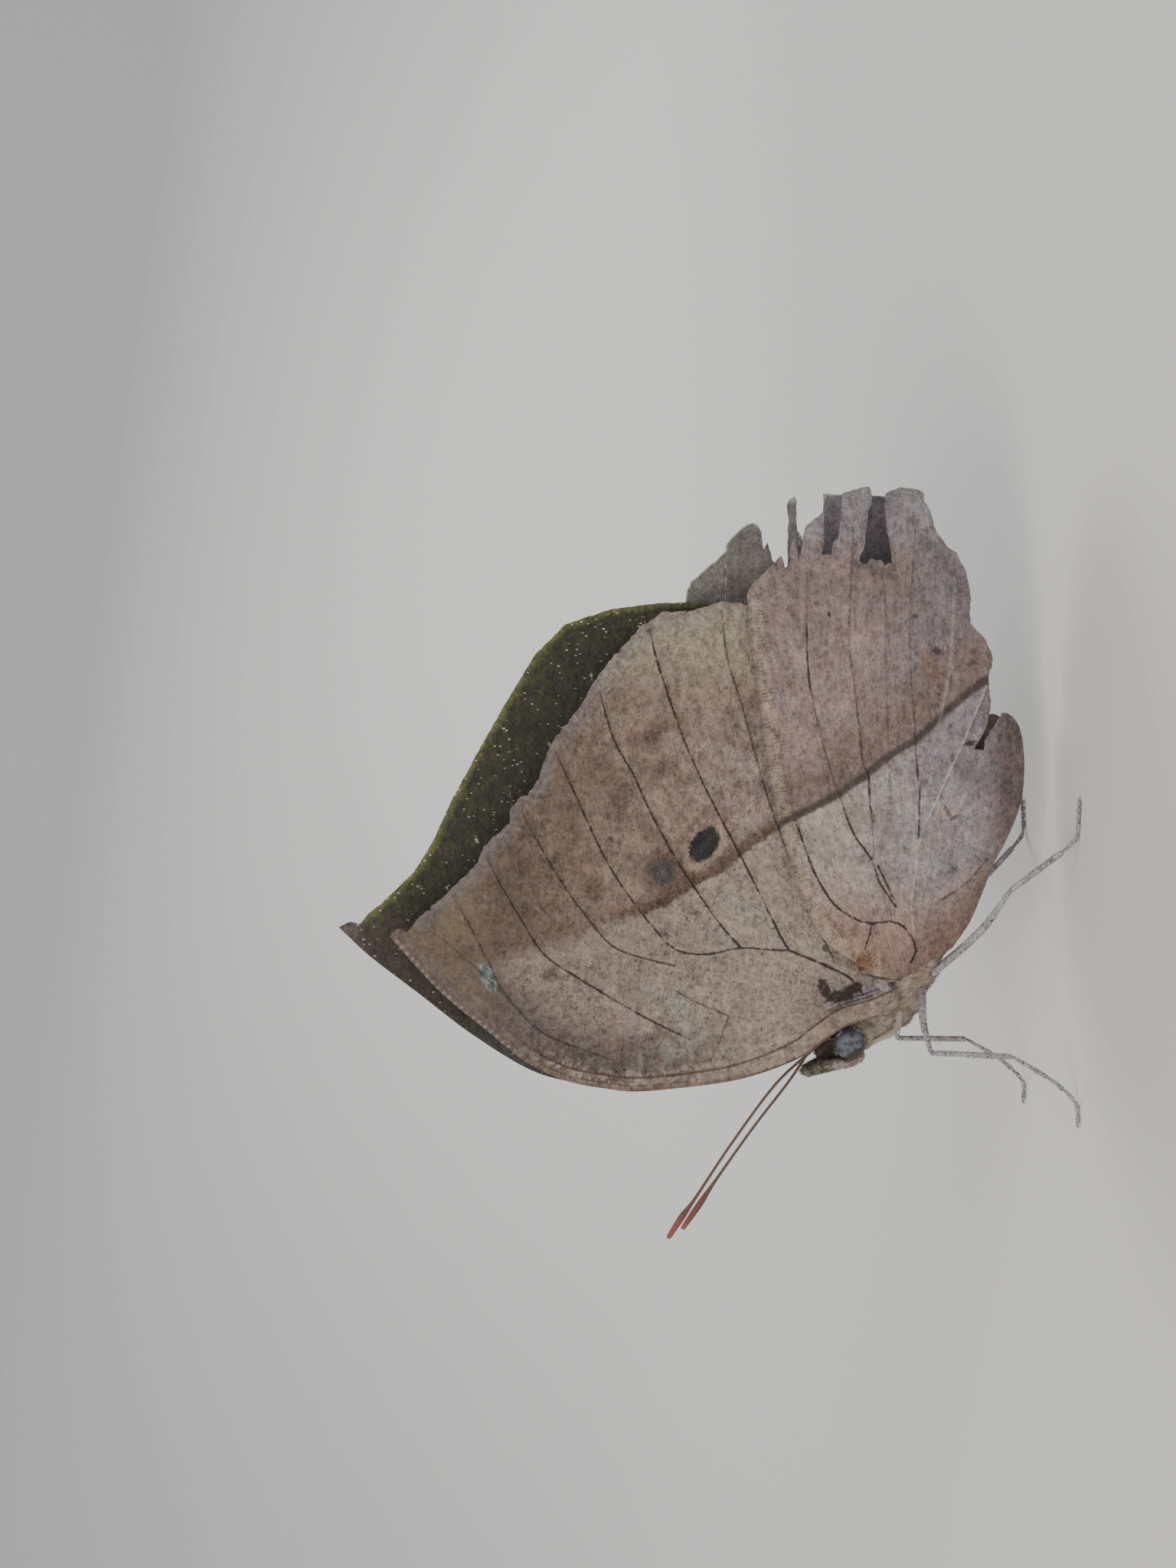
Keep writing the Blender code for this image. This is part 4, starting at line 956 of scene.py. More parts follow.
def comb(skin, flow, lift, tall, thick):
    """Writes how hair lies on a skin: its way, length and thickness, each constant or a function of the place."""
    spots = laid(values_of(skin.data.vertices, "co"))
    normals = values_of(skin.data.vertex_normals, "vector")

    def each(value):
        shape = (len(spots), 1) if np.ndim(value) else len(spots)
        return value(spots) if callable(value) else np.tile(value, shape)

    way = each(flow)
    way = way - normals * (way * normals).sum(1)[:, None]
    way /= np.maximum(np.linalg.norm(way, axis=1), 1e-6)[:, None]
    way = way + normals * lift
    way /= np.linalg.norm(way, axis=1)[:, None]
    store(skin.data, "lie", way)
    store(skin.data, "tall", each(tall))
    store(skin.data, "thick", each(thick))


def round_about(turn):
    return np.array((math.cos(turn), math.sin(turn), 0.0))


def tuft_mesh(name, hairs, spread, width, lean, seed):
    """A few bent three-sided hairs from one root, one millimetre long, with a flat patch of its own for each."""
    rng = np.random.default_rng(seed)
    spots = []
    faces = []
    patch = []
    for i in range(hairs):
        turn = math.tau * (i + rng.uniform(-0.2, 0.2)) / hairs
        foot = round_about(turn) * spread * (hairs > 1)
        out = round_about(turn) * lean
        long = rng.uniform(0.8, 1.0)
        start = len(spots)
        for level, share in ((-0.12, 1.0), (0.5, 0.8)):
            for k in range(3):
                ring = round_about(math.tau * k / 3 + turn) * width * share
                spots.append(foot + ring + np.array((0, 0, level * long)) + out * max(level, 0.0) ** 1.6)
                patch.append((i / hairs, max(level, 0.0)))
        spots.append(foot + np.array((0, 0, long)) + out * 1.1 + np.array((0.05, 0.0, 0.0)))
        patch.append((i / hairs, 1.0))
        for k in range(3):
            n = (k + 1) % 3
            faces.append((start + k, start + n, start + 3 + n, start + 3 + k))
            faces.append((start + 3 + k, start + 3 + n, start + 6))
        faces.append((start + 2, start + 1, start))
    mesh = bpy.data.meshes.new(name)
    mesh.from_pydata([tuple(p * MM) for p in spots], [], faces)
    store(mesh, "patch", np.array([(u, w, 0.0) for u, w in patch]))
    return placed(name, mesh)


COAT_NUMBERS = ("Tufts per square millimetre", "Unevenness")


def coat_tree(name, seed, finish):
    """The nodes that set one tuft on each of many random points of a skin, combed as the skin says."""
    tree = bpy.data.node_groups.new(name, "GeometryNodeTree")
    inputs = (("Skin", "Geometry"), ("Tuft", "Object"), *((label, "Float") for label in COAT_NUMBERS))
    for label, kind in inputs:
        tree.interface.new_socket(label, in_out="INPUT", socket_type="NodeSocket" + kind)
    tree.interface.new_socket("Coat", in_out="OUTPUT", socket_type="NodeSocketGeometry")

    def node(kind, settings, **values):
        made = tree.nodes.new(kind)
        for key, value in settings.items():
            setattr(made, key, value)
        for key, value in values.items():
            socket = made.inputs[int(key[1:])] if key[1:].isdigit() else made.inputs[key.replace("_", " ")]
            if isinstance(value, bpy.types.NodeSocket):
                tree.links.new(value, socket)
            else:
                socket.default_value = value
        return made

    def combed(label, kind="FLOAT"):
        return node("GeometryNodeInputNamedAttribute", {"data_type": kind}, Name=label).outputs[0]

    def reckoned(operation, a, b):
        return node("ShaderNodeMath", {"operation": operation}, _0=a, _1=b).outputs[0]

    def chance(low, high, seed):
        return node("FunctionNodeRandomValue", {"data_type": "FLOAT"}, _2=low, _3=high, Seed=seed).outputs[1]

    skin, tuft, per_square, uneven = node("NodeGroupInput", {}).outputs[:4]
    density = reckoned("MULTIPLY", reckoned("MULTIPLY", per_square, 1.0 / MM**2), combed("thick"))
    sown = node("GeometryNodeDistributePointsOnFaces", {}, Mesh=skin, Density=density, Seed=seed)
    upright = node("FunctionNodeAlignRotationToVector", {"axis": "Z"}, Vector=combed("lie", "FLOAT_VECTOR")).outputs[0]
    spin = chance(0.0, math.tau, seed + 1)
    twist = node("FunctionNodeAxisAngleToRotation", {}, Axis=(0.0, 0.0, 1.0), Angle=spin).outputs[0]
    turned = node(
        "FunctionNodeRotateRotation", {"rotation_space": "LOCAL"}, Rotation=upright, Rotate_By=twist
    ).outputs[0]
    vary = chance(reckoned("SUBTRACT", 1.0, uneven), reckoned("ADD", 1.0, uneven), seed + 2)
    size = reckoned("MULTIPLY", combed("tall"), vary)
    shape = node("GeometryNodeObjectInfo", {}, Object=tuft).outputs["Geometry"]
    points = sown.outputs["Points"]
    planted = node(
        "GeometryNodeInstanceOnPoints", {}, Points=points, Instance=shape, Rotation=turned, Scale=size
    ).outputs[0]
    here = node("GeometryNodeInputPosition", {}).outputs[0]
    root = {"data_type": "FLOAT_VECTOR", "domain": "INSTANCE"}
    kept = node("GeometryNodeStoreNamedAttribute", root, Geometry=planted, Name="root", Value=here)
    real = node("GeometryNodeRealizeInstances", {}, Geometry=kept.outputs[0])
    painted = node("GeometryNodeSetMaterial", {}, Geometry=real.outputs[0], Material=finish)
    node("NodeGroupOutput", {}, Coat=painted.outputs[0])
    return tree


def coat(name, skin, tuft, finish, unwrap, per_square, uneven, seed):
    """Grows tufts on a skin and returns them as one plain mesh, with the map that its colours are baked by."""
    tree = coat_tree(name + "_growth", seed, finish)
    grow = skin.modifiers.new("growth", "NODES")
    grow.node_group = tree
    values = {"Tuft": tuft, **dict(zip(COAT_NUMBERS, (per_square, uneven)))}
    for item in tree.interface.items_tree:
        if item.in_out == "INPUT" and item.name in values:
            grow[item.identifier] = values[item.name]
    mesh = baked(skin, name)
    skin.modifiers.remove(grow)
    bpy.data.objects.remove(tuft)
    roots = laid(values_of(mesh.attributes["root"].data, "vector"))
    patch = values_of(mesh.attributes["patch"].data, "vector")[:, :2].astype(np.float32)
    places = unwrap(roots) + BAKE_PATCH * (patch - 0.5)
    corner = np.empty(len(mesh.loops), int)
    mesh.loops.foreach_get("vertex_index", corner)
    flat_map = mesh.uv_layers.new(name="OFBake")
    flat_map.data.foreach_set("uv", np.clip(places[corner], UV_RIM, 1.0 - UV_RIM).astype(np.float32).ravel())
    return placed(name, mesh)


def onto_map(along, turn):
    """Places on the map from a share along and an angle round, with a margin left free."""
    return np.stack([0.02 + 0.96 * along, 0.02 + 0.96 * (turn / math.tau + 0.5)], 1)


def body_unwrap(spots):
    """Along the body's line by round its girth, from the belly seam, for each place."""
    arc = reach_of(spots[:, [0, 2]], BODY_LINE)[1]
    lengths = arc_of(BODY_LINE)
    middle_x, middle_z = (np.interp(arc, lengths, BODY_LINE[:, k]) for k in (0, 1))
    up = (spots[:, 0] - middle_x) * BACKWARD[0] + (spots[:, 2] - middle_z) * BACKWARD[2]
    return onto_map(arc / lengths[-1], np.arctan2(spots[:, 1], up))


def body_finish(name, gloss):
    """Buff pile, greyer on the back, with a pale yellowish rim of scales behind each eye."""
    f = Finish(name)
    here, x, y, z = f.laid_place()
    patchy = f.noise(here, 0.8, 3.0, 0.6)
    grain = f.noise(here, 9.0, 2.0, 0.6)
    high = (x - THORAX_AT[0]) * BACKWARD[0] + (z - THORAX_AT[2]) * BACKWARD[2]
    f.colour = f.mix(patchy.fade(0.35, 0.65), (0.33, 0.268, 0.228), (0.41, 0.345, 0.295))
    f.lay(high.fade(1.2, 2.6) * y.size().fade(1.8, 0.9) * 0.9, (0.11, 0.095, 0.088))
    f.lay(x.wane(-3.8, 0.5) * 0.62, (0.194, 0.168, 0.138))
    f.lay(x.fade(6.0, 10.0) * 0.8, (0.170, 0.128, 0.105))
    from_eye = ((x - EYE_AT[0]) ** 2.0 + (z - EYE_AT[2]) ** 2.0) ** 0.5
    rim = from_eye.fade(1.35, 1.6) * from_eye.wane(1.9, 2.3) * (x * 0.4 - z * 0.9).fade(-20.8, -19.8)
    f.lay(rim * 0.8, (0.30, 0.265, 0.19))
    orbit = from_eye.fade(1.4, 1.6) * from_eye.wane(1.9, 2.2) * x.fade(-5.2, -4.6)
    f.lay(orbit * f.noise(here, 1.6, 2.0, 0.6).fade(0.44, 0.52), (0.46, 0.46, 0.48))
    # The face between the eye and the wing's front edge: dark brown hair, made darker still as painted shade.
    face = f.mix(patchy.fade(0.4, 0.6), (0.030, 0.024, 0.018), (0.060, 0.050, 0.038))
    f.lay(z.fade(20.9, 21.5) * x.fade(-3.4, -4.4) * 0.94, face)
    f.dim(grain * 0.5 + 0.75)
    return f.done(0.85, gloss=gloss, relief=grain, depth=0.06)


skin = grown_together(
    "body_skin",
    ("head", "thorax", "abdomen"),
    [
        ((-4.1, 0, 19.5), (1.5, 1.25, 1.5)),
        ((-5.0, 0, 19.7), (1.7, 1.5, 1.2)),
        ((-4.5, 0, 18.3), (1.3, 1.45, 1.3)),
        ((-5.4, 0, 18.95), (0.9, 1.25, 0.9)),
        ((-5.6, 0, 22.2), (1.2, 1.1, 1.35)),
        ((-6.3, 0, 23.0), (0.95, 0.9, 1.05)),
        ((-6.95, 0, 22.9), (0.8, 0.85, 0.9)),
        ((-6.75, 0, 21.8), (0.65, 0.85, 0.8)),
        ((-3.8, 0, 17.2), (1.3, 1.65, 1.3)),
        ((-3.1, 0, 16.9), (1.6, 1.7, 1.8)),
        ((-2.5, 0, 15.4), (1.6, 1.6, 1.5)),
        ((-1.3, 0, 14.5), (1.6, 1.5, 1.6)),
        ((-1.0, 1.5, 17.6), (1.9, 1.35, 2.0)),
        ((-1.0, -1.5, 17.6), (1.9, 1.35, 2.0)),
        ((6.7, 0, 11.9), (1.35, 1.2, 1.35)),
    ],
    0.13,
    9,
    PILE_DEPTH,
    body_finish("buff scales on the body", 0.2),
)
comb(
    skin,
    TAILWARD,
    0.38,
    lambda p: np.interp(p[:, 0], (-7, -5, -3, 0, 6, 9, 25), (0.26, 0.24, 0.4, 0.46, 0.38, 0.24, 0.2))
    + 0.22 * np.clip((p[:, 2] - 21.2) / 0.6, 0, 1) * (p[:, 0] < -4.6),
    lambda p: np.interp(p[:, 0], (-7, -3, 6, 9, 25), (1.0, 1.0, 1.0, 0.5, 0.4)),
)
buff_tuft = tuft_mesh("buff_tuft", hairs=3, spread=0.12, width=0.05, lean=0.3, seed=3)
pile = coat(
    "body_pile", skin, buff_tuft, body_finish("buff pile", 0.25), body_unwrap, per_square=17.0, uneven=0.4, seed=20
)
for piece in (skin, pile):
    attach(piece, "root")
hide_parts("head", "thorax", "abdomen")

# The eyes
# Two big hard domes of thousands of tiny lenses, set in the sides of the head behind a rim of chalky scales.
# The lenses are grey and glossy, with dark false pupils that show through them.
EYE_RADII = (1.5, 1.15, 1.5)
ORBIT_RADIUS = 1.53
THINNEST = 0.01


def eye_finish():
    f = Finish("lens grey")
    here = f.place()
    x, _, z = f.split(here)
    x = x - (LAID_TO_ROW.x / MM + EYE_AT[0])
    z = z - (LAID_TO_ROW.z / MM + EYE_AT[2])
    low = x * 0.8 + z * 0.5 + (f.noise(here, 1.4) - 0.5) * 0.5
    ragged = (f.noise(here, 2.6, 2.0, 0.6) - 0.5) * 0.45
    f.colour = f.mix(low.fade(-0.7, -0.3), (0.033, 0.026, 0.022), (0.126, 0.129, 0.144))
    false_pupils = (
        (0.18, 0.18, 0.62), (-0.43, 0.55, 0.66), (0.14, 0.75, 0.4), (-0.45, 1.1, 0.55),
        (0.3, -0.45, 0.42), (0.28, -1.0, 0.48), (-0.36, -0.22, 0.36), (0.95, 0.05, 0.38),
    )
    for across, along, wide in false_pupils:
        spot = ((x - across) ** 2.0 + (z - along) ** 2.0) ** 0.5 + ragged
        f.lay(spot.wane(0.0, wide) * 0.85, (0.022, 0.022, 0.027))
    return f.done(0.42, gloss=0.4, relief=f.cells(here, 13.0), depth=0.03, strength=0.5)


def at_arcs(arcs, line):
    """The points of a line that lie these lengths along it."""
    return np.stack([np.interp(arcs, arc_of(line), line[:, k]) for k in range(3)], 1)


def limb(points, radii, sides, step):
    """Corners, faces, and each corner's place along and round a round-ended rod of changing thickness."""
    line = soft_line([(*p, r) for p, r in zip(points, radii)], step)
    spots, thick = line[:, :3], np.maximum(line[:, 3], THINNEST)
    arc = arc_of(spots)
    fine = list(arc)
    for share in (0.02, 0.12, 0.35, 0.7):
        fine.append(thick[0] * share)
        fine.append(arc[-1] - thick[-1] * share)
    fine = np.unique(np.clip(fine, 0.0, arc[-1]))
    spots = at_arcs(fine, spots)
    thick = np.interp(fine, arc, thick)
    thick = thick * np.sqrt(1 - np.clip(1 - fine / thick[0], 0, 1) ** 2 + 1e-4)
    thick = thick * np.sqrt(1 - np.clip(1 - (arc[-1] - fine) / max(line[-1, 3], THINNEST), 0, 1) ** 2 + 1e-4)
    ahead = np.gradient(spots, axis=0)
    ahead /= np.linalg.norm(ahead, axis=1)[:, None]
    across = np.cross(ahead[0], (0.0, 0.0, 1.0))
    if np.linalg.norm(across) < 0.1:
        across = np.cross(ahead[0], (1.0, 0.0, 0.0))
    out = []
    places = []
    for i, at in enumerate(spots):
        across = across - ahead[i] * (across @ ahead[i])
        across /= np.linalg.norm(across)
        over = np.cross(ahead[i], across)
        for j in range(sides):
            turn = math.tau * j / sides
            out.append(at + (across * math.cos(turn) + over * math.sin(turn)) * thick[i])
            places.append((fine[i], j / sides, thick[i]))
    faces = []
    for i in range(len(spots) - 1):
        for j in range(sides):
            n = (j + 1) % sides
            faces.append((i * sides + j, i * sides + n, (i + 1) * sides + n, (i + 1) * sides + j))
    faces.append(tuple(reversed(range(sides))))
    faces.append(tuple((len(spots) - 1) * sides + j for j in range(sides)))
    return np.array(out), faces, np.array(places)


def rod_piece(name, rods, finish):
    """One piece from several rods, with the place along and round each kept for its colours."""
    corners = []
    faces = []
    places = []
    for at, rod_faces, rod_places in rods:
        faces += [tuple(len(corners) + i for i in face) for face in rod_faces]
        corners += list(at)
        places += list(rod_places)
    mesh = bpy.data.meshes.new(name)
    mesh.from_pydata((np.array(corners) * MM + np.array(LAID_TO_ROW)).tolist(), [], faces)
    work = bmesh.new()
    work.from_mesh(mesh)
    bmesh.ops.recalc_face_normals(work, faces=work.faces)
    work.to_mesh(mesh)
    work.free()
    store(mesh, "rod", np.array(places))
    return placed(name, mesh, finish)


def rod_unwrap(line):
    """A map for what grows on one rod: along its line by round it."""
    line = np.array(line, float)

    def unwrap(spots):
        arc = reach_of(spots[:, [0, 2]], line[:, [0, 2]])[1]
        along = arc / arc_of(line[:, [0, 2]])[-1]
        middle_y, middle_z = (np.interp(along, np.linspace(0, 1, len(line)), line[:, k]) for k in (1, 2))
        return onto_map(along, np.arctan2(spots[:, 1] - middle_y, spots[:, 2] - middle_z))

    return unwrap


def orbit_finish(name):
    """Chalky scales with dark gaps between them."""
    f = Finish(name)
    here = f.place()
    gaps = f.noise(here, 1.3, 3.0, 0.65).fade(0.44, 0.54)
    f.colour = f.mix(gaps, (0.050, 0.046, 0.044), (0.30, 0.305, 0.33))
    grain = f.noise(here, 9.0, 2.0)
    f.dim(grain * 0.6 + 0.7)
    return f.done(0.8, gloss=0.2, relief=grain, depth=0.06)


eye_gloss = eye_finish()
orbit_scales = orbit_finish("orbit scales")
orbit_hair = orbit_finish("orbit hair")
for side, word in SIDES:
    middle = EYE_AT * (1, side, 1)
    work = bmesh.new()
    bmesh.ops.create_icosphere(work, subdivisions=5, radius=1.0, matrix=ball_place(middle, EYE_RADII))
    mesh = bpy.data.meshes.new("eye_dome_" + word)
    work.to_mesh(mesh)
    work.free()
    eye = placed("eye_dome_" + word, mesh, eye_gloss)
    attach(eye, "root")
    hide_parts("eye_" + word)
    line = []
    for degrees in range(-75, 141, 12):
        turn = math.radians(degrees)
        line.append(middle + np.array((math.cos(turn) * ORBIT_RADIUS, side * 0.12, math.sin(turn) * ORBIT_RADIUS)))
    orbit = rod_piece("orbit_" + word, [limb(line, np.full(len(line), 0.11), 12, 0.15)], orbit_scales)
    comb(orbit, lambda p: p - middle, 0.35, 0.3, 1.0)
    tuft = tuft_mesh("orbit_tuft", hairs=3, spread=0.06, width=0.035, lean=0.2, seed=7)
    lashes = coat("orbit_hair_" + word, orbit, tuft, orbit_hair, rod_unwrap(line), per_square=24.0, uneven=0.4, seed=61)
    for piece in (orbit, lashes):
        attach(piece, "root")

# The palps and forelegs
# Two blunt scaly feelers stand in front of the face. Two brush legs, too short to walk on, are folded at the breast.
# Both are thin hollow rods that scales and hair thicken.
HEAD_AT = np.array((-5.1, 0.0, 20.5))
HEAD_RADII = np.array((1.5, 1.35, 1.6))


def head_spot(way, lift):
    """A point on the head in a direction from its middle, lifted off it."""
    way = np.array(way, float)
    way /= np.linalg.norm(way)
    return HEAD_AT + way * (1.0 / math.sqrt(((way / HEAD_RADII) ** 2).sum()) + lift)


def palp_finish(name):
    f = Finish(name)
    here = f.place()
    grain = f.noise(here, 6.0, 3.0, 0.6)
    z = f.split(here)[2] - LAID_TO_ROW.z / MM
    base = f.mix(f.noise(here, 1.7, 2.0).fade(0.4, 0.62), (0.220, 0.176, 0.158), (0.31, 0.26, 0.235))
    f.colour = f.mix(f.noise(here, 1.7, 2.0).fade(0.42, 0.66), (0.082, 0.080, 0.060), (0.168, 0.160, 0.124))
    f.colour = f.mix((z + f.noise(here, 1.2) * 1.2).fade(22.4, 23.4), base, f.colour)
    f.dim(grain * 0.7 + 0.65)
    return f.done(0.85, gloss=0.25, relief=grain, depth=0.06)


palp_scales = palp_finish("palp scales")
palp_hair = palp_finish("palp hair")
for side, word in SIDES:
    line = [head_spot((-0.66, side * 0.36, -0.66), 0.1), (-6.85, side * 0.92, 19.5), (-7.4, side * 0.98, 20.8)]
    line += [(-7.5, side * 0.95, 22.0), (-7.75, side * 0.85, 23.6), (-8.35, side * 0.75, 25.1)]
    palp = rod_piece("palp_core_" + word, [limb(line, (0.3, 0.36, 0.4, 0.5, 0.62, 0.38), 20, 0.25)], palp_scales)
    comb(palp, (-0.35, 0.0, 1.0), 0.45, 0.42, 1.0)
    tuft = tuft_mesh("palp_tuft", hairs=3, spread=0.06, width=0.03, lean=0.15, seed=4)
    hair = coat("palp_hair_" + word, palp, tuft, palp_hair, rod_unwrap(line), per_square=22.0, uneven=0.3, seed=31)
    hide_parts("palp_" + word)
    hip = THORAX_AT + TAILWARD * -0.5 * THORAX_HALF_LENGTH + np.array((0, side, 0)) * 1.5 - BACKWARD * 2.4
    line = [hip, (-4.0, side * 1.75, 16.1), (-4.9, side * 1.55, 17.5), (-5.3, side * 1.25, 18.4)]
    brush = rod_piece("foreleg_core_" + word, [limb(line, (0.3, 0.3, 0.26, 0.08), 16, 0.25)], skin.data.materials[0])
    comb(brush, (-0.7, 0.0, 0.7), 0.4, 0.3, 1.0)
    tuft = tuft_mesh("foreleg_tuft", hairs=3, spread=0.06, width=0.03, lean=0.2, seed=5)
    down = coat(
        "foreleg_hair_" + word, brush, tuft, pile.data.materials[0], rod_unwrap(line), per_square=18.0, uneven=0.3,
        seed=41
    )
    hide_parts("foreleg_" + word)
    for piece in (palp, hair, brush, down):
        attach(piece, "root")

# The tongue
# A long thin tube of two half pipes, wound up like a watch spring between the palps.
f = Finish("tongue brown", (0.13, 0.075, 0.045))
rings = (f.split(f.read("rod", vector=True))[0] * 9.0).math("SINE")
tongue_brown = f.done(0.4, relief=rings, depth=0.03, strength=0.3)
coil_at = np.array((-7.25, 0.0, 20.3))
line = []
for i in range(34):
    turn = math.radians(60 + 26 * (i + 1))
    line.append(coil_at + np.array((math.cos(turn), 0.0, math.sin(turn))) * (0.58 - 0.014 * i))
tongue = rod_piece("tongue_coil", [limb(line, np.linspace(0.12, 0.07, len(line)), 14, 0.08)], tongue_brown)
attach(tongue, "root")
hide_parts("proboscis")

# The antennae
# Two stiff feelers of some forty short joints, finely scaled, each thickening into a slim rusty club.
# They grow from sockets between the eyes and point forward and up along the wing's front edge.
ANTENNA_RADIUS = 0.14
CLUB_RADIUS = 0.33


def antenna_finish():
    f = Finish("antenna joints")
    here = f.place()
    along = f.split(f.read("rod", vector=True))[0]
    joint = (along * 2.2).math("FRACT")
    ring = joint.wane(0.0, 0.12).most(joint.fade(0.88, 1.0))
    f.colour = f.mix(along.fade(17.0, 22.5), (0.090, 0.062, 0.045), (0.110, 0.052, 0.036))
    f.lay(along.fade(23.4, 24.6) * 0.8, (0.205, 0.080, 0.056))
    f.lay(ring * along.fade(2.0, 14.0, 0.7, 0.25), (0.25, 0.20, 0.15))
    grain = f.noise(here, 8.0, 2.0)
    f.dim(grain * 0.6 + 0.7)
    return f.done(0.55, gloss=0.35, relief=ring * -0.7 + grain * 0.3, depth=0.05, strength=0.5)


antenna_skin = antenna_finish()
left_feeler = [(-6.3, 24.6), (-9.4, 28.1), (-15.0, 32.5), (-20.2, 36.2), (-21.9, 37.5), (-23.9, 38.9)]
right_feeler = [(-6.4, 24.2), (-9.5, 26.3), (-14.0, 29.7), (-19.2, 33.3), (-21.6, 34.9), (-24.1, 36.6)]
for side, word, feeler in ((-1, "left", left_feeler), (1, "right", right_feeler)):
    line = [head_spot((0.05, side * 0.42, 0.9), -0.1), (-5.05, side * 1.0, 23.0)]
    line += [(x, side * out, z) for (x, z), out in zip(feeler, (1.15, 1.4, 2.0, 2.7, 2.9, 3.2))]
    radii = (0.24, *[ANTENNA_RADIUS] * 4, 0.17, CLUB_RADIUS, 0.24)
    antenna = rod_piece("antenna_rod_" + word, [limb(line, radii, 16, 0.2)], antenna_skin)
    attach(antenna, "root")
    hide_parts("antenna_" + word)

# The walking legs
# Four thin jointed legs: thigh, shank and a foot of five short joints that ends in a pair of claws.
# They are hard tubes under pale grey scales, with dark spines along the shank and under the foot.
FOOT_CENTRE = 0.24
THORAX_HALF_WIDTH = 2.2
THORAX_BELLY = 3.9


def leg_finish():
    f = Finish("leg scales")
    here = f.place()
    along = f.split(f.read("rod", vector=True))[0]
    grain = f.noise(here, 7.0, 3.0, 0.6)
    f.colour = f.mix(f.noise(here, 1.1, 2.0).fade(0.4, 0.65), (0.300, 0.285, 0.290), (0.200, 0.180, 0.172))
    f.lay(f.noise(here, 5.2, 2.0).fade(0.56, 0.64) * 0.7, (0.52, 0.51, 0.53))
    f.lay(f.noise(here, 3.6, 2.0).fade(0.58, 0.64) * 0.8, (0.06, 0.048, 0.042))
    f.lay(along.wane(0.0, 0.5) * 0.5, (0.09, 0.07, 0.06))
    f.dim(grain * 0.6 + 0.7)
    return f.done(0.7, gloss=0.3, relief=grain, depth=0.05)


spine_brown = Finish("spine brown", (0.075, 0.052, 0.042)).done(0.5)
leg_scales = leg_finish()


def walking_leg(name, side, hip, knee, ankle, foot, thick, rise):
    """Thigh, shank, foot joints and claws of one leg, and the spines that grow on it."""
    hip, knee, ankle = np.array(hip, float), np.array(knee, float), np.array(ankle, float)
    foot = [np.array(p, float) for p in foot]
    bow = (hip + knee) / 2 + np.array((0, side * 0.3, rise))
    shank = (ankle - knee) / np.linalg.norm(ankle - knee)
    rods = [limb([hip + (hip - bow) * 0.12, hip, bow, knee], (0.3, thick * 0.88, thick * 0.86, thick * 0.5), 18, 0.3)]
    shin = [knee - shank * 0.1, knee + shank * 0.9, (knee + ankle) / 2, ankle - shank * 0.5, ankle]
    rods.append(limb(shin, [thick * share for share in (0.6, 0.62, 0.66, 0.68, 0.55)], 16, 0.3))
    path = soft_line([ankle] + foot, 0.2)
    cuts = np.array((0.0, 0.40, 0.60, 0.74, 0.86, 0.97)) * arc_of(path)[-1]
    for start, stop in zip(cuts, cuts[1:]):
        joint = at_arcs(np.linspace(start, stop, 5), path)
        rods.append(limb(joint, (0.14, 0.18, 0.20, 0.22, 0.18), 14, 0.15))
    tip = path[-1]
    ahead = (path[-1] - path[-6]) / np.linalg.norm(path[-1] - path[-6])
    for out in (-1, 1):
        spread = np.cross(ahead, (0, 0, 1.0)) * out
        heel = tip - ahead * 0.35 + spread * 0.08
        bend = tip - ahead * 0.05 + spread * 0.2 + (0, 0, 0.04)
        point = tip + ahead * 0.12 + spread * 0.22 + (0, 0, -0.14)
        rods.append(limb([heel, bend, point], (0.07, 0.055, 0.012), 8, 0.08))
    leg = rod_piece(name, rods, leg_scales)
    away = (foot[-1] - hip) / np.linalg.norm(foot[-1] - hip)
    comb(
        leg,
        away,
        0.8,
        lambda p: np.interp(p[:, 2], (0.0, 0.5, 1.5, 12.0, 18.0), (0.16, 0.2, 0.3, 0.3, 0.2)),
        lambda p: np.interp(p[:, 2], (0.0, 0.3, 1.0, 12.0, 14.0), (0.6, 1.0, 1.0, 0.7, 0.3)),
    )
    spine = tuft_mesh("leg_spine", hairs=1, spread=0.0, width=0.035, lean=0.1, seed=6)
    unwrap = rod_unwrap([hip, knee, ankle, *foot])
    spines = coat(name + "_spines", leg, spine, spine_brown, unwrap, per_square=5.0, uneven=0.3, seed=51)
    for piece in (leg, spines):
        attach(piece, "root")
    return leg


def breast_spot(s, degrees, side, lift):
    """Where a leg leaves the thorax: s along it from the head end at -1, degrees round it from the belly line."""
    blunt = 4.4 if s < 0 else 2.4
    share = math.sqrt(1.0 - abs(s) ** blunt) * (0.86 + 0.14 * math.cos(2.4 * (s - 0.15)))
    turn = math.radians(degrees)
    sideways = np.array((0, side, 0)) * math.sin(turn) * (THORAX_HALF_WIDTH * share + lift)
    down = BACKWARD * math.cos(turn) * (THORAX_BELLY * share + lift)
    return THORAX_AT + TAILWARD * s * THORAX_HALF_LENGTH + (sideways - down)


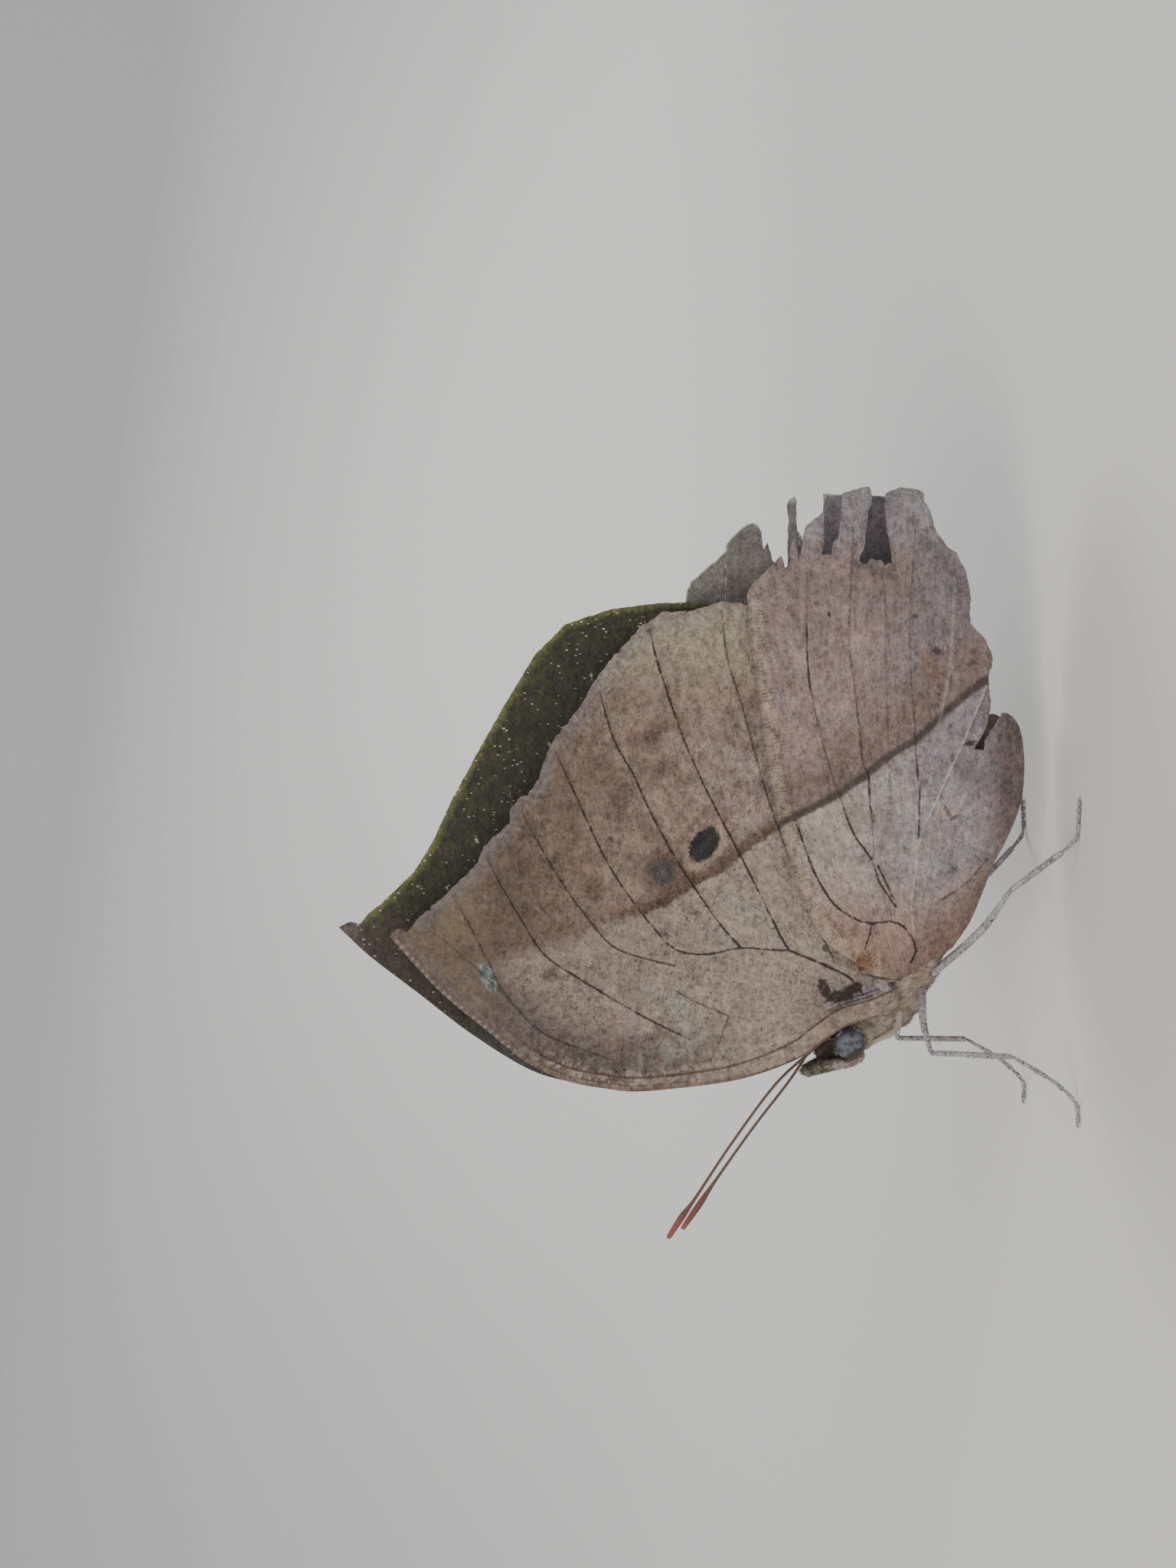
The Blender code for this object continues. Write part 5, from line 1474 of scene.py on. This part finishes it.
for side, word in SIDES:
    hip, knee, ankle = breast_spot(-0.06, 40, side, 0.2), (-5.8, side * 7.5, 14.0), (-6.1, side * 9.0, 6.4)
    toes = [(-8.4, side * 9.3, 2.6), (-10.2, side * 9.5, 0.62), (-11.2, side * 9.6, FOOT_CENTRE)]
    toes.append((-12.8, side * 9.8, FOOT_CENTRE))
    leg = walking_leg("midleg_" + word, side, hip, knee, ankle, toes, 0.42, 0.4)
    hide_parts("midleg_femur_" + word, "midleg_tibia_" + word, "midleg_tarsus_" + word)
    hip, knee, ankle = breast_spot(0.34, 40, side, 0.2), (9.7, side * 6.3, 5.9), (13.5, side * 9.1, 1.5)
    toes = [(14.6, side * 9.6, 0.5), (15.4, side * 9.8, FOOT_CENTRE), (18.6, side * 10.3, FOOT_CENTRE)]
    leg = walking_leg("hindleg_" + word, side, hip, knee, ankle, toes, 0.44, -0.7)
    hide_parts("hindleg_femur_" + word, "hindleg_tibia_" + word, "hindleg_tarsus_" + word)

# The studio
# A plain pale floor that sweeps up into a pale wall, under wide soft lamps, and a camera low on the animal's left.
# The camera is rolled a quarter turn, because the butterfly in the picture sits head down on a trunk.
FLOOR_BEHIND = 0.35
SWEEP_RADIUS = 0.4
profile = [(-1.6, 0.0), (FLOOR_BEHIND, 0.0)]
for i in range(1, 13):
    bend = math.radians(90 * i / 12)
    profile.append((FLOOR_BEHIND + SWEEP_RADIUS * math.sin(bend), SWEEP_RADIUS * (1 - math.cos(bend))))
profile.append((0.75, 2.2))
sweep_mesh = bpy.data.meshes.new("floor")
sweep_spots = [(x, y, z) for y, z in profile for x in (-2.5, 2.5)]
sweep_mesh.from_pydata(sweep_spots, [], [(2 * i, 2 * i + 1, 2 * i + 3, 2 * i + 2) for i in range(len(profile) - 1)])
floor = placed("floor", sweep_mesh, Finish("pale floor", (0.66, 0.65, 0.63), as_given).done(0.9))

world = bpy.data.worlds.new("studio")
world.use_nodes = True
sky = world.node_tree.nodes["Background"].inputs
sky["Color"].default_value = (0.90, 0.93, 1.0, 1.0)
sky["Strength"].default_value = 0.62
bpy.context.scene.world = world
aim = Vector((20.0, 0.0, 46.3)) * MM + LAID_TO_ROW


def lamp(name, away, size, power, colour=(1.0, 1.0, 1.0)):
    """A wide soft lamp this far from the aim, in metres, and turned to it."""
    light = bpy.data.lights.new(name, "AREA")
    light.size = size
    light.energy = power
    light.color = colour
    holder = placed(name, light)
    holder.location = aim + Vector(away)
    holder.rotation_euler = (aim - holder.location).to_track_quat("-Z", "Y").to_euler()
    holder.visible_camera = False


PIXELS_PER_MM = 13.4
HALF_PICTURE_PIXELS = 1024
CAMERA_AWAY = 0.260
TILT = math.radians(6.0)
lamp("key", (-0.25, -0.45, 0.30), 0.35, 2.2, (1.0, 0.96, 0.91))
lamp("fill", (0.35, -0.35, 0.20), 0.25, 0.64)
lamp("back", (0.1, 0.45, 0.35), 0.3, 1.6)

view = bpy.data.cameras.new("camera")
view.sensor_fit = "VERTICAL"
view.angle = 2 * math.atan(HALF_PICTURE_PIXELS / (PIXELS_PER_MM * CAMERA_AWAY * 1000))
view.clip_start = 0.01
camera = placed("camera", view)
back = Vector((0.0, -math.cos(TILT), math.sin(TILT)))
right = Vector((0.0, -math.sin(TILT), -math.cos(TILT)))
up = back.cross(right)
turn = Matrix((right, up, back)).transposed()
camera.matrix_world = Matrix.Translation(aim + back * CAMERA_AWAY) @ turn.to_4x4()
bpy.context.scene.camera = camera
